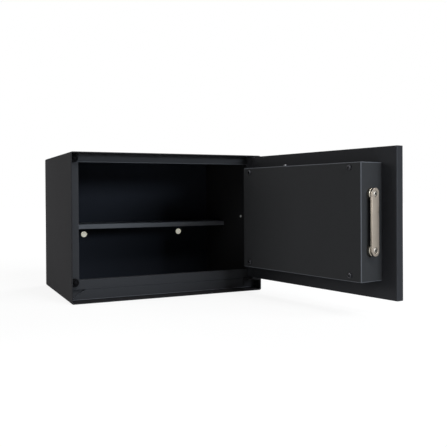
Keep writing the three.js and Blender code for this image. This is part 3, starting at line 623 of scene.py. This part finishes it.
# Near white and only partly metallic: a painted highlight, so the wall screw shows bright inside the shaded
# case
lit_zinc = metal("lit_zinc", (240, 240, 238), 0.4, ALONG_Z, metallic=0.3)
dull_steel = metal("dull_steel", (88, 89, 92), 0.42, ALONG_Z, vary=0.3)
black_screw = metal("black_oxide", (48, 49, 53), 0.34, ALONG_X, vary=0.25, metallic=0.8)
# Painted shade for the screws' cross recesses
painted_recess_shade = skin("painted_recess_shade", (10, 10, 11), 0.8, grain=2000.0, Specular_IOR_Level=0.02)
rubber = skin("bumper_rubber", (18, 18, 20), 0.8, grain=900.0, Specular_IOR_Level=0.05)

# The plugs' faint glow stands for the light behind them
cream = skin("cream_plastic", (232, 230, 214), 0.5, grain=700.0, tone=0.06,
             Emission_Color=linear(236, 234, 216), Emission_Strength=0.44)

black_plastic = skin("black_plastic", (30, 31, 34), 0.48, grain=1800.0, tone=0.12, depth=0.05 * MM, dust=0.05)
key_plastic = skin("key_plastic", (58, 60, 64), 0.5, grain=1800.0, depth=0.03 * MM)
print_paint = skin("key_print", (222, 222, 218), 0.5, grain=1200.0, tone=0.06, depth=0.01 * MM)
display_paint = skin("display_window", (38, 10, 14), 0.12, grain=300.0, tone=0.05, depth=0.004 * MM)
circuit = skin("circuit_mask", (24, 84, 52), 0.4, grain=500.0, tone=0.3)
sleeve = skin("battery_sleeve", (62, 88, 116), 0.35, grain=260.0, tone=0.15, depth=0.01 * MM)
brass = metal("machined_brass", (196, 160, 92), 0.32, ALONG_X, DOOR_TURN)

SLOT_FINISH = {
    "case_paint": case_paint,
    "door_paint": leaf_paint,
    "nickel": nickel,
    "zinc": zinc,
    "black_screw": black_screw,
    "bumper_rubber": rubber,
    "cream_plastic": cream,
    "black_plastic": black_plastic,
    "key_plastic": key_plastic,
    "display": display_paint,
    "circuit": circuit,
    "battery_sleeve": sleeve,
    "brass": brass,
}


def finish_nodes():
    """Give every node of the frame the finish of its slot."""
    for part in frame["record"]["subparts"]:
        node = frame["nodes"][part["node"]]
        node.data.materials.clear()
        node.data.materials.append(SLOT_FINISH[part["material_slot"]])


finish_nodes()


# The case

def make_case_shell():
    """Folded wrap: four walls in one sheet, with rounded outer folds."""
    shell = block("case_wrap", *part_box("case_shell"))
    round_edges(shell, runs_deep, CASE_CORNER, steps=6)
    remove_faces(shell, lambda at, normal: abs(normal.y) > NEARLY)
    sheet_walls(shell, CASE_SHEET)
    soften(shell, CASE_EDGE, steps=3)
    finish(shell, case_paint, "case", "case_shell")


def make_back_panel():
    """Sheet set into the back of the wrap, with the two anchor holes."""
    low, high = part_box("back_panel")
    panel = block("rear_sheet", low, high)
    round_edges(panel, runs_deep, FOLD_RADIUS, steps=3)
    for side in ("left", "right"):
        at = middle(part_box(f"anchor_plug_{side}"))
        cut(panel, drum("hole", (at.x, high.y, at.z), ANCHOR_HOLE, THROUGH * CASE_SHEET, "Y"))
    soften(panel)
    finish(panel, shaded_inner_paint, "case", "back_panel")


def make_front_frame():
    """Plate in the mouth, with its sill and top folded back round a small radius."""
    low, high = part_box("front_frame")
    plate_back = low.y + FRAME_SHEET
    left, right = low.x + FRAME_SIDE, high.x - FRAME_SIDE
    sill, top = low.z + FRAME_SILL, high.z - FRAME_TOP
    plate = block("mouth_frame", low, (high.x, plate_back, high.z))
    round_edges(plate, runs_deep, FOLD_RADIUS, steps=3)
    cut(plate, block("hole", (left, low.y - FRAME_SHEET, sill), (right, plate_back + FRAME_SHEET, top)))
    for lip_low in (sill - FRAME_SHEET, top):
        start = (left, low.y + FRAME_SHEET / 2, lip_low)
        weld(plate, block("lip", start, (right, high.y, lip_low + FRAME_SHEET)))

    def is_fold(at, along):
        on_lip = min(abs(at.z - sill), abs(at.z - top)) < CLOSE
        return abs(along.x) > NEARLY and on_lip and abs(at.y - low.y) < CLOSE

    round_edges(plate, is_fold, FOLD_RADIUS)
    soften(plate)
    finish(plate, lit_front_paint, "case", "front_frame")


def make_toe_panel():
    """Sheet under the frame that laps up behind it, with a slanting recess pressed into its left end."""
    low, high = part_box("toe_panel")
    frame_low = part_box("front_frame")[0]
    seam = frame_low.z - GAP
    lap_front = frame_low.y + FRAME_SHEET + GAP
    lap_foot = frame_low.z - TOE_OVERLAP
    recess_end = low.x + RECESS_WIDTH
    panel = block("toe_sheet", low, (high.x, low.y + TOE_SHEET, seam))
    round_edges(panel, lambda at, along: at.y < low.y + CLOSE and at.z < low.z + CLOSE, TOE_FOLD)
    weld(
        panel,
        block("web", (low.x, low.y + TOE_SHEET / 2, lap_foot), (high.x, lap_front + TOE_SHEET, seam)),
        block("lap", (low.x, lap_front, lap_foot + TOE_SHEET), (high.x, lap_front + TOE_SHEET, high.z)),
        block("pocket", (low.x, low.y + TOE_SHEET / 2, low.z + FOLD_RADIUS), (recess_end, high.y, seam)),
    )
    recess = block("recess", (low.x - MM, low.y - MM, low.z), (recess_end, low.y + RECESS_DEPTH, seam + MM))
    slope = Vector((seam - low.z - RECESS_FOOT, 0, -RECESS_WIDTH))
    keep_side(recess, (recess_end, 0, seam), slope)
    cut(panel, recess)
    soften(panel, TOE_EDGE, steps=3)
    # A painted highlight along the foot of the toe's front face
    second_tone(panel, painted_edge_highlight, lambda at, normal: normal.y < -SOME and at.z < low.z + TOE_FOLD)
    finish(panel, lit_front_paint, "case", "toe_panel")


def fold_sheet(name, low, high, keep, fold, thickness):
    """Two faces of a cuboid as a sheet folded where they meet."""
    piece = block(name, low, high)
    remove_faces(piece, lambda at, normal: not keep(at, normal))
    round_edges(piece, fold, FOLD_RADIUS)
    sheet_walls(piece, thickness)
    soften(piece, SHEET_EDGE)
    return piece


def make_shelf():
    """Shelf sheet with its front edge folded down."""
    low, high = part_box("shelf")
    shelf = fold_sheet(
        "folded_shelf", low, high,
        lambda at, normal: normal.z > NEARLY or normal.y < -NEARLY,
        lambda at, along: at.y < low.y + CLOSE and at.z > high.z - CLOSE,
        SHELF_SHEET)
    finish(shelf, shelf_paint, "case", "shelf")


def make_shelf_bracket(side):
    """Folded angle that carries one end of the shelf from the case's wall."""
    low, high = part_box(f"shelf_bracket_{side}")
    wall = low.x if side == "left" else high.x
    bracket = fold_sheet(
        f"shelf_angle_{side}", low, high,
        lambda at, normal: normal.z > NEARLY or abs(at.x - wall) < CLOSE,
        lambda at, along: runs_deep(at, along) and at.z > high.z - CLOSE and abs(at.x - wall) < CLOSE,
        SHELF_SHEET)
    finish(bracket, case_paint, "case", f"shelf_bracket_{side}")


def make_hinge_bracket():
    """Folded angle under the door's hinge side."""
    low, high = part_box("hinge_bracket")
    bracket = fold_sheet(
        "hinge_angle", low, high,
        lambda at, normal: normal.z > NEARLY or normal.y > NEARLY,
        lambda at, along: at.y > high.y - CLOSE and at.z > high.z - CLOSE,
        BRACKET_SHEET)
    finish(bracket, case_paint, "case", "hinge_bracket")


def make_bumpers():
    """Domed rubber stops with a moulded ring, pressed onto the frame."""
    low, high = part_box("bumper_top")
    radius = (high.x - low.x) / 2
    tall = high.y - low.y
    shoulder, groove = STOP_SHOULDER * tall, STOP_GROOVE * tall
    profile = [
        (0, 0), (radius, 0), *rounded(radius, shoulder, STOP_ROUND * radius), (STOP_RING * radius, shoulder),
        (STOP_CROWN * radius, groove), *dome(STOP_CROWN * radius, shoulder, tall - shoulder), (0, tall),
    ]
    model = turned("bumper_model", (0, 0, 0), (0, -1, 0), profile)
    soften(model, TURNED_EDGE)
    for level in ("top", "bottom"):
        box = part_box(f"bumper_{level}")
        at = middle(box)
        bumper = copied(model, f"stop_{level}", Matrix.Translation((at.x, box[1].y, at.z)))
        finish(bumper, rubber, "case", f"bumper_{level}")
    bpy.data.objects.remove(model)


def make_anchor_plugs():
    """Moulded plugs with a dimpled face, pressed into the anchor holes from inside."""
    low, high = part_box("anchor_plug_left")
    rim = (high.x - low.x) / 2
    stem = ANCHOR_HOLE - GAP
    stem_length = CASE_SHEET - GAP
    face = high.y - low.y - stem_length
    dimple = PLUG_DIMPLE * rim
    profile = [
        (0, -stem_length), (stem, -stem_length), (stem, 0), (rim, 0), *rounded(rim, face, PLUG_ROUND * face),
        (dimple + PLUG_SLOPE * face, face), (dimple, PLUG_LEDGE * face), (dimple / 2, PLUG_BOWL * face),
        (0, PLUG_FLOOR * face),
    ]
    model = turned("plug_model", (0, 0, 0), (0, -1, 0), profile)
    soften(model, TURNED_EDGE)
    for side in ("left", "right"):
        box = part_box(f"anchor_plug_{side}")
        at = middle(box)
        plug = copied(model, f"hole_plug_{side}", Matrix.Translation((at.x, box[1].y - stem_length, at.z)))
        finish(plug, cream, "case", f"anchor_plug_{side}")
    bpy.data.objects.remove(model)


def make_hinge_pins():
    """Pins with a collar that the door runs on, one standing on the bracket and one under the top wall."""
    for level, direction in (("top", -1), ("bottom", 1)):
        low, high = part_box(f"hinge_pin_{level}")
        collar_radius = (high.x - low.x) / 2
        total = high.z - low.z
        collar = total - PIN_REACH
        profile = [
            (0, 0), (collar_radius, 0), *rounded(collar_radius, collar, PIN_COLLAR_ROUND, 2),
            (PIN_RADIUS, collar), *rounded(PIN_RADIUS, total, PIN_ROUND), (0, total),
        ]
        at = middle((low, high))
        seat = Vector((at.x, at.y, low.z if direction > 0 else high.z))
        pin = turned(f"pivot_pin_{level}", seat, (0, 0, direction), profile)
        soften(pin, PIN_EDGE)
        finish(pin, black_screw, "case", f"hinge_pin_{level}")


# Screws

def screw_model(head_radius, head_height, shank_radius, shank_length):
    """A pan head screw standing along +Z, its head's underside at height 0, with a cross recess."""
    rise = CROWN_SHARE * head_height
    profile = [
        (0, -shank_length), (shank_radius - FINE_EDGE, -shank_length),
        (shank_radius, FINE_EDGE - shank_length), (shank_radius, 0), (head_radius, 0),
        *dome(head_radius, head_height - rise, rise, 6), (0, head_height),
    ]
    model = turned("screw_model", (0, 0, 0), (0, 0, 1), profile, sides=40)
    arm, half = CROSS_REACH * head_radius, CROSS_WIDTH * head_radius
    foot = (1 - CROSS_REACH) * head_height
    for wide, deep in ((arm, half), (half, arm)):
        blade = block("blade", (-wide, -deep, foot), (wide, deep, head_height + MM))
        choose(blade, faces=lambda at, normal: normal.z < -NEARLY)
        bpy.ops.transform.resize(value=(CROSS_TAPER, CROSS_TAPER, 1), center_override=(0, 0, foot))
        leave_edit()
        cut(model, blade)
    soften(model, SCREW_EDGE * head_radius, angle=30)
    crown_foot = head_height - rise

    def in_recess(at, normal):
        near = math.hypot(at.x, at.y) < CROSS_ROOM * arm and at.z > foot - CLOSE
        return near and (abs(normal.z) < MUCH or at.z < min(crown_foot, foot + CLOSE))

    # Painted shade in the cross recess
    second_tone(model, painted_recess_shade, in_recess)
    return model


def set_screws(sizes, nodes, direction, spin, material, body):
    """Copies of one screw, each with its head's top where its node has it."""
    model = screw_model(*sizes)
    head_height = sizes[1]
    lean = Vector((0, 0, 1)).rotation_difference(Vector(direction)).to_matrix().to_4x4()
    for i, (name, node) in enumerate(nodes):
        low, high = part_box(node) if body == "case" else shut_box(node)
        top = middle((low, high))
        for axis in range(3):
            if direction[axis]:
                top[axis] = high[axis] if direction[axis] > 0 else low[axis]
        seat = top - Vector(direction) * head_height
        turn = Matrix.Rotation(math.radians(spin * (i + 1)), 4, "Z")
        piece = copied(model, name, Matrix.Translation(seat) @ lean @ turn)
        finish(piece, material, body, node)
    bpy.data.objects.remove(model)


def make_screws():
    """Four screws in the cover, two in the bar, one in the cover's edge and one in the case's wall."""
    cover_nodes = [(f"cover_fixing_{side}_{level}", f"cover_screw_{side}_{level}")
                   for side in ("hinge", "free") for level in ("top", "bottom")]
    set_screws(COVER_SCREW, cover_nodes, (0, 1, 0), 37, black_screw, "door")
    bar_nodes = [(f"bar_fixing_{level}", f"bar_screw_{level}") for level in ("top", "bottom")]
    set_screws(BAR_SCREW, bar_nodes, (-1, 0, 0), 28, zinc, "bolt_work")
    set_screws(EDGE_SCREW, [("cover_edge_fixing", "cover_edge_screw")], (0, 0, 1), 20, dull_steel,
               "door")
    set_screws(WALL_SCREW, [("wall_fixing", "wall_screw")], (-1, 0, 0), 30, lit_zinc, "case")


make_case_shell()
make_back_panel()
make_front_frame()
make_toe_panel()
make_shelf()
make_shelf_bracket("left")
make_shelf_bracket("right")
make_hinge_bracket()
make_bumpers()
make_anchor_plugs()
make_hinge_pins()
make_screws()


# The door leaf and the lock's cover

def make_door_pan():
    """Folded outer skin of the door. Its hinge side turns back as a flange, proud of the back plate."""
    low, high = shut_box("door_pan")
    pan = block("door_skin", low, high)
    flange_start = high.x - HINGE_FLANGE
    step_high = (flange_start, high.y + MM, high.z + MM)
    cut(pan, block("step", (low.x - MM, high.y - FLANGE_STEP, low.z - MM), step_high))

    def is_fold(at, along):
        on_side = min(at.x - low.x, high.x - at.x) < CLOSE
        return at.y < low.y + CLOSE or abs(along.z) > NEARLY and on_side

    round_edges(pan, is_fold, DOOR_EDGE, steps=5)
    remove_faces(pan, lambda at, normal: normal.y > NEARLY and at.x < flange_start)
    sheet_walls(pan, DOOR_SHEET)
    soften(pan)
    finish(pan, leaf_paint, "door", "door_pan")


def make_door_back_plate():
    """Sheet that closes the leaf from behind."""
    low, high = shut_box("door_back_plate")
    plate = block("leaf_back", low, high)
    round_edges(plate, runs_deep, FOLD_RADIUS, steps=3)
    soften(plate, SHEET_EDGE)
    finish(plate, leaf_paint, "door", "door_back_plate")


def make_lock_cover():
    """Folded box over the lock, with the bolts' holes in its free side."""
    low, high = shut_box("lock_cover")
    cover = block("lock_box", low, high)

    def is_fold(at, along):
        return at.y > high.y - CLOSE or runs_deep(at, along)

    round_edges(cover, is_fold, COVER_FOLD, steps=5)
    remove_faces(cover, lambda at, normal: normal.y < -NEARLY)
    sheet_walls(cover, COVER_SHEET)
    tools = []
    for node in ("bolt_top", "bolt_bottom"):
        box = shut_box(node)
        radius = (box[1].z - box[0].z) / 2 + GAP
        centre = Vector((low.x, middle(box).y, middle(box).z))
        tools.append(drum("hole", centre, radius, THROUGH * COVER_FOLD, "X", sides=64))
    for level in ("top", "bottom"):
        for side in ("hinge", "free"):
            at = middle(shut_box(f"cover_screw_{side}_{level}"))
            tools.append(drum("hole", (at.x, high.y, at.z), SHANK_HOLE, THROUGH * COVER_SHEET, "Y", sides=32))
    at = middle(shut_box("cover_edge_screw"))
    tools.append(drum("hole", (at.x, at.y, high.z), EDGE_SHANK_HOLE, THROUGH * COVER_SHEET, "Z", sides=24))
    cut(cover, *tools)
    soften(cover, COVER_EDGE)
    finish(cover, box_paint, "door", "lock_cover")


# The bolts and their bar

def make_bolts():
    """Round bolts with a softened tip, drilled for the bar's screws."""
    low, high = shut_box("bolt_top")
    radius = (high.z - low.z) / 2
    length = high.x - low.x
    drilled = length - BOLT_DRILLED
    profile = [
        (0, 0), (radius, 0), *rounded(radius, length, BOLT_ROUND, 3), (SHANK_HOLE, length),
        (SHANK_HOLE, drilled), (0, drilled),
    ]
    model = turned("bolt_model", (0, 0, 0), (-1, 0, 0), profile, sides=96)
    soften(model, TURNED_EDGE)
    for level in ("top", "bottom"):
        box = shut_box(f"bolt_{level}")
        at = middle(box)
        bolt = copied(model, f"lock_bolt_{level}", Matrix.Translation((box[1].x, at.y, at.z)))
        finish(bolt, bolt_nickel, "bolt_work", f"bolt_{level}")
    bpy.data.objects.remove(model)


def make_bolt_bar():
    """Round ended bar across the bolts' tips, with a sunk seat for each screw."""
    low, high = shut_box("bolt_bar")
    bar = block("tie_bar", low, high)
    half = (high.y - low.y) / 2
    round_edges(bar, lambda at, along: abs(along.x) > NEARLY, half - END_FLAT, steps=16)
    for level in ("top", "bottom"):
        screw_low, screw_high = shut_box(f"bar_screw_{level}")
        at = middle((screw_low, screw_high))
        seat = (screw_high.z - screw_low.z) / 2 + GAP
        cut(bar, drum("seat", (low.x, at.y, at.z), seat, 2 * SCREW_SEAT, "X", sides=64),
            drum("hole", (low.x, at.y, at.z), SHANK_HOLE, THROUGH * (high.x - low.x), "X", sides=32))
    soften(bar, BAR_EDGE, steps=3)
    finish(bar, nickel, "bolt_work", "bolt_bar")


# The keypad unit on the front of the door

def face_box(node):
    """Lowest and highest corner of a key or of the window, without its flange."""
    low, high = shut_box(node)
    margin = Vector((KEY_FLANGE, 0, KEY_FLANGE))
    return low + margin, high - margin


def through_hole(low, high, front, back, corner):
    """A rounded tool a gap larger than what passes through it."""
    tool = block("opening", (low.x - GAP, front, low.z - GAP), (high.x + GAP, back, high.z + GAP))
    round_edges(tool, runs_deep, corner, steps=6)
    return tool


def make_keypad_housing(labels):
    """Moulded hollow shell with a rounded rim, open for each key, the window and the override."""
    low, high = shut_box("keypad_housing")
    shell = block("keypad_case", low, high)
    round_edges(shell, runs_deep, KEYPAD_CORNER, steps=12)
    round_edges(shell, lambda at, along: at.y < low.y + CLOSE, KEYPAD_EDGE, steps=5)
    wall = Vector((KEYPAD_WALL, KEYPAD_WALL, KEYPAD_WALL))
    hollow = block("hollow", low + wall, (high.x - KEYPAD_WALL, high.y + MM, high.z - KEYPAD_WALL))
    round_edges(hollow, runs_deep, KEYPAD_CORNER - KEYPAD_WALL, steps=8)
    cut(shell, hollow)
    front, back = low.y - MM, low.y + KEYPAD_WALL + MM
    for node in (*[f"key_{label}" for label in labels], "display_lens"):
        cut(shell, through_hole(*face_box(node), front, back, KEY_CORNER))
    at = middle(shut_box("override_body"))
    cut(shell, drum("opening", (at.x, low.y, at.z), SLEEVE_RADIUS + GAP, THROUGH * KEYPAD_WALL, "Y",
                    sides=64))
    soften(shell, HOUSING_EDGE, steps=3)
    finish(shell, black_plastic, "door", "keypad_housing")


def make_display_lens():
    """Glossy window with a flange behind the housing's face."""
    low, high = shut_box("display_lens")
    face_low, face_high = face_box("display_lens")
    lens = block("display_window", (face_low.x, low.y, face_low.z), (face_high.x, high.y, face_high.z))
    round_edges(lens, runs_deep, KEY_CORNER, steps=6)
    weld(lens, block("flange", (low.x, high.y - KEY_FLANGE_SHEET, low.z), high))
    soften(lens, LENS_EDGE, steps=3)
    finish(lens, display_paint, "door", "display_lens")


def key_model():
    """A key cap with rounded shoulders, a dished face and a flange, its face's centre at the origin."""
    low, high = face_box("key_1")
    half_wide, half_tall = (high.x - low.x) / 2, (high.z - low.z) / 2
    model = block("key_model", (-half_wide, 0, -half_tall), (half_wide, KEY_LENGTH, half_tall))
    round_edges(model, runs_deep, KEY_CORNER, steps=6)
    round_edges(model, lambda at, along: at.y < CLOSE, KEY_SHOULDER)
    choose(model, faces=lambda at, normal: normal.y < -SQUARELY)
    bpy.ops.mesh.inset(thickness=KEY_RIM)
    bpy.ops.mesh.inset(thickness=KEY_SLOPE)
    bpy.ops.transform.translate(value=(0, KEY_DISH, 0))
    leave_edit()
    start = KEY_PROUD + KEYPAD_WALL + GAP
    flange = block("flange", (-half_wide - KEY_FLANGE, start, -half_tall - KEY_FLANGE),
                   (half_wide + KEY_FLANGE, start + KEY_FLANGE_SHEET, half_tall + KEY_FLANGE))
    round_edges(flange, runs_deep, KEY_CORNER)
    weld(model, flange)
    soften(model, KEY_EDGE, angle=50)
    return model


def legend(name, text, face):
    """A printed digit or sign on a key's face."""
    bpy.ops.object.select_all(action="DESELECT")
    bpy.ops.object.text_add()
    letters = bpy.context.object.data
    letters.body = text
    letters.size = LEGEND_HEIGHT
    letters.align_x = "CENTER"
    letters.extrude = LEGEND_PROUD
    bpy.ops.object.convert(target="MESH")
    mark = named(name)
    modify(mark, "WELD", merge_threshold=MM / 1000)
    points = [v.co for v in mark.data.vertices]
    across = (min(p.x for p in points) + max(p.x for p in points)) / 2
    up = (min(p.y for p in points) + max(p.y for p in points)) / 2
    centre = Matrix.Translation((-across, -up, 0))
    mark.data.transform(Matrix.Translation(face) @ Matrix.Rotation(math.pi / 2, 4, "X") @ centre)
    return mark


def make_keys(labels):
    """Copies of one key, each with its mark lying in its dish."""
    model = key_model()
    for label, text in labels.items():
        low, high = face_box(f"key_{label}")
        at = middle((low, high))
        key = copied(model, f"key_cap_{label}", Matrix.Translation((at.x, low.y, at.z)))
        finish(key, key_plastic, f"key_body_{label}", f"key_{label}")
        mark = legend(f"legend_{label}", text, (at.x, low.y + KEY_DISH, at.z))
        finish(mark, print_paint, f"key_body_{label}")
    bpy.data.objects.remove(model)


def make_override():
    """Collar and sleeve of the override lock, and the barrel that turns in it."""
    low, high = shut_box("override_body")
    at = middle((low, high))
    collar = (high.x - low.x) / 2
    bore = BARREL_RADIUS + GAP
    length = high.y - low.y
    collar_foot, sunk = length - COLLAR_SHEET, length - COLLAR_SUNK
    profile = [
        (bore, 0), (SLEEVE_RADIUS, 0), (SLEEVE_RADIUS, collar_foot), (collar, collar_foot),
        *rounded(collar, length, COLLAR_ROUND), (bore + COLLAR_LIP, length),
        (bore + COLLAR_SUNK, sunk), (bore, sunk), (bore, 0),
    ]
    sleeve = turned("override_sleeve", (at.x, high.y, at.z), (0, -1, 0), profile, sides=96)
    soften(sleeve, SLEEVE_EDGE)
    finish(sleeve, nickel, "door", "override_body")

    barrel_low, barrel_high = shut_box("override_barrel")
    length = barrel_high.y - barrel_low.y
    profile = [(0, 0), (BARREL_RADIUS, 0), *rounded(BARREL_RADIUS, length, BARREL_ROUND), (0, length)]
    barrel = turned("override_core", (at.x, barrel_high.y, at.z), (0, -1, 0), profile, sides=72)
    half = CAM_WIDTH / 2
    cam = block("cam", (at.x - half, barrel_high.y - CAM_SHEET, barrel_low.z),
                (at.x + half, barrel_high.y, at.z + half))
    round_edges(cam, runs_deep, half - END_FLAT, steps=10)
    weld(barrel, cam)
    wide, deep, tall = KEYWAY
    cut(barrel, block("keyway", (at.x - wide / 2, barrel_low.y - MM, at.z - tall / 2),
                      (at.x + wide / 2, barrel_low.y + deep, at.z + tall / 2)))
    soften(barrel, BARREL_EDGE)
    finish(barrel, brass, "barrel", "override_barrel")


LEGENDS = {"1": "1", "2": "2", "3": "3", "4": "4", "5": "5", "6": "6", "7": "7", "8": "8", "9": "9",
           "clear": "C", "0": "0", "lock": "#"}

make_door_pan()
make_door_back_plate()
make_lock_cover()
make_bolts()
make_bolt_bar()
make_keypad_housing(LEGENDS)
make_display_lens()
make_keys(LEGENDS)
make_override()


# Camera: place in metres, turns in degrees, lens and sensor in millimetres, shifts in picture widths

CAMERA_AT = Vector((-0.3809, -1.1463, 0.1795))
YAW, PITCH, ROLL = (math.radians(a) for a in (25.17, 0.51, -0.34))
LENS = 50.19
SENSOR = 36
SHIFT_X = -0.0006
SHIFT_Y = -0.0541


def make_camera():
    """The photograph's camera: turned to the right, tipped a little down and rolled."""
    forward = Vector((math.sin(YAW) * math.cos(PITCH), math.cos(YAW) * math.cos(PITCH), -math.sin(PITCH)))
    level = Vector((math.cos(YAW), -math.sin(YAW), 0))
    upright = level.cross(forward)
    right = level * math.cos(ROLL) + upright * math.sin(ROLL)
    up = upright * math.cos(ROLL) - level * math.sin(ROLL)
    data = bpy.data.cameras.new("camera")
    data.lens = LENS
    data.sensor_width = SENSOR
    data.sensor_fit = "HORIZONTAL"
    data.shift_x = SHIFT_X
    data.shift_y = SHIFT_Y
    camera = bpy.data.objects.new("camera", data)
    bpy.context.scene.collection.objects.link(camera)
    camera.matrix_world = Matrix.Translation(CAMERA_AT) @ Matrix((right, up, -forward)).transposed().to_4x4()
    bpy.context.scene.camera = camera


# Light, floor and backdrop, in metres and in shares of full strength

AMBIENT = 0.06
FLOOR_SIZE = 14
FLOOR_DROP = 0.2 * MM
FLOOR_COLOUR = (0.8, 0.8, 0.8, 1)
FLOOR_GLOW = 1.1
FLOOR_SHARE = 0.8
FLOOR_NEAR = 0.6
FLOOR_FAR = 1.6
LAMP_DISTANCE = 3.0
MOUTH = Vector((0, -0.12, 0.12))
DAYLIGHT = (0.86, 0.94, 1.0)
NEUTRAL = (1.0, 1.0, 1.0)
WARM = (1.0, 0.98, 0.93)


def soft_lamp(name, azimuth, elevation, size, power, colour=NEUTRAL):
    """A rectangular soft box, by its bearing round the mouth from the front towards the left and its rise."""
    turn, rise = math.radians(azimuth), math.radians(elevation)
    away = Vector((-math.sin(turn) * math.cos(rise), -math.cos(turn) * math.cos(rise), math.sin(rise)))
    data = bpy.data.lights.new(name, "AREA")
    data.shape = "RECTANGLE"
    data.size, data.size_y = size
    data.energy = power
    data.color = colour
    lamp = bpy.data.objects.new(name, data)
    bpy.context.scene.collection.objects.link(lamp)
    lamp.location = MOUTH + away * LAMP_DISTANCE
    lamp.rotation_euler = (-away).to_track_quat("-Z", "Y").to_euler()


def camera_sees(tree):
    """1 for what the camera sees, directly or through gloss or glass."""
    path = add(tree, "ShaderNodeLightPath").outputs
    direct = sums(tree, "MAXIMUM", path["Is Camera Ray"], path["Is Glossy Ray"])
    return sums(tree, "MAXIMUM", direct, path["Is Transmission Ray"])


def make_backdrop():
    """White behind the object for the camera, gloss and glass, and a dim even light for all else."""
    world = bpy.data.worlds.new("studio")
    bpy.context.scene.world = world
    world.use_nodes = True
    tree = world.node_tree
    background = tree.nodes["Background"]
    background.inputs["Color"].default_value = (1, 1, 1, 1)
    strength = add(tree, "ShaderNodeMapRange",
                   [("Value", camera_sees(tree)), ("To Min", AMBIENT), ("To Max", 1.0)])
    tree.links.new(strength.outputs[0], background.inputs["Strength"])


def make_floor():
    """Pale floor that takes the object's shadow near it and glows white further off."""
    bpy.ops.object.select_all(action="DESELECT")
    bpy.ops.mesh.primitive_plane_add(size=FLOOR_SIZE, location=(0, 0, -FLOOR_DROP))
    floor = bpy.context.object
    floor.name = "floor"
    material = bpy.data.materials.new("pale_floor")
    material.use_nodes = True
    tree = material.node_tree
    tree.nodes.remove(tree.nodes["Principled BSDF"])
    matt = add(tree, "ShaderNodeBsdfDiffuse", [("Color", FLOOR_COLOUR)])
    glow = add(tree, "ShaderNodeEmission", [("Strength", FLOOR_GLOW)])
    place = add(tree, "ShaderNodeTexCoord").outputs["Object"]
    away = add(tree, "ShaderNodeVectorMath", [(0, place)], operation="LENGTH").outputs["Value"]
    fade = add(tree, "ShaderNodeMapRange",
               [("Value", away), ("From Min", FLOOR_NEAR), ("From Max", FLOOR_FAR), ("To Min", FLOOR_SHARE)])
    share = sums(tree, "MULTIPLY", camera_sees(tree), fade.outputs[0])
    mix = add(tree, "ShaderNodeMixShader", [(0, share), (1, matt.outputs[0]), (2, glow.outputs[0])])
    tree.links.new(mix.outputs[0], tree.nodes["Material Output"].inputs["Surface"])
    floor.data.materials.append(material)


make_camera()
make_backdrop()
make_floor()
soft_lamp("key_softbox", -12, 45, (1.0, 1.0), 28)
soft_lamp("fill_softbox", 32, 40, (1.0, 1.0), 8)
soft_lamp("low_strip", -21, 12, (1.2, 0.45), 46, DAYLIGHT)
soft_lamp("right_softbox", -47, 30, (0.8, 0.6), 17)
soft_lamp("left_softbox", 106, 11, (1.2, 1.0), 41, WARM)
soft_lamp("rear_softbox", -125, 30, (1.5, 1.5), 45)
bpy.context.scene.view_settings.view_transform = "Standard"
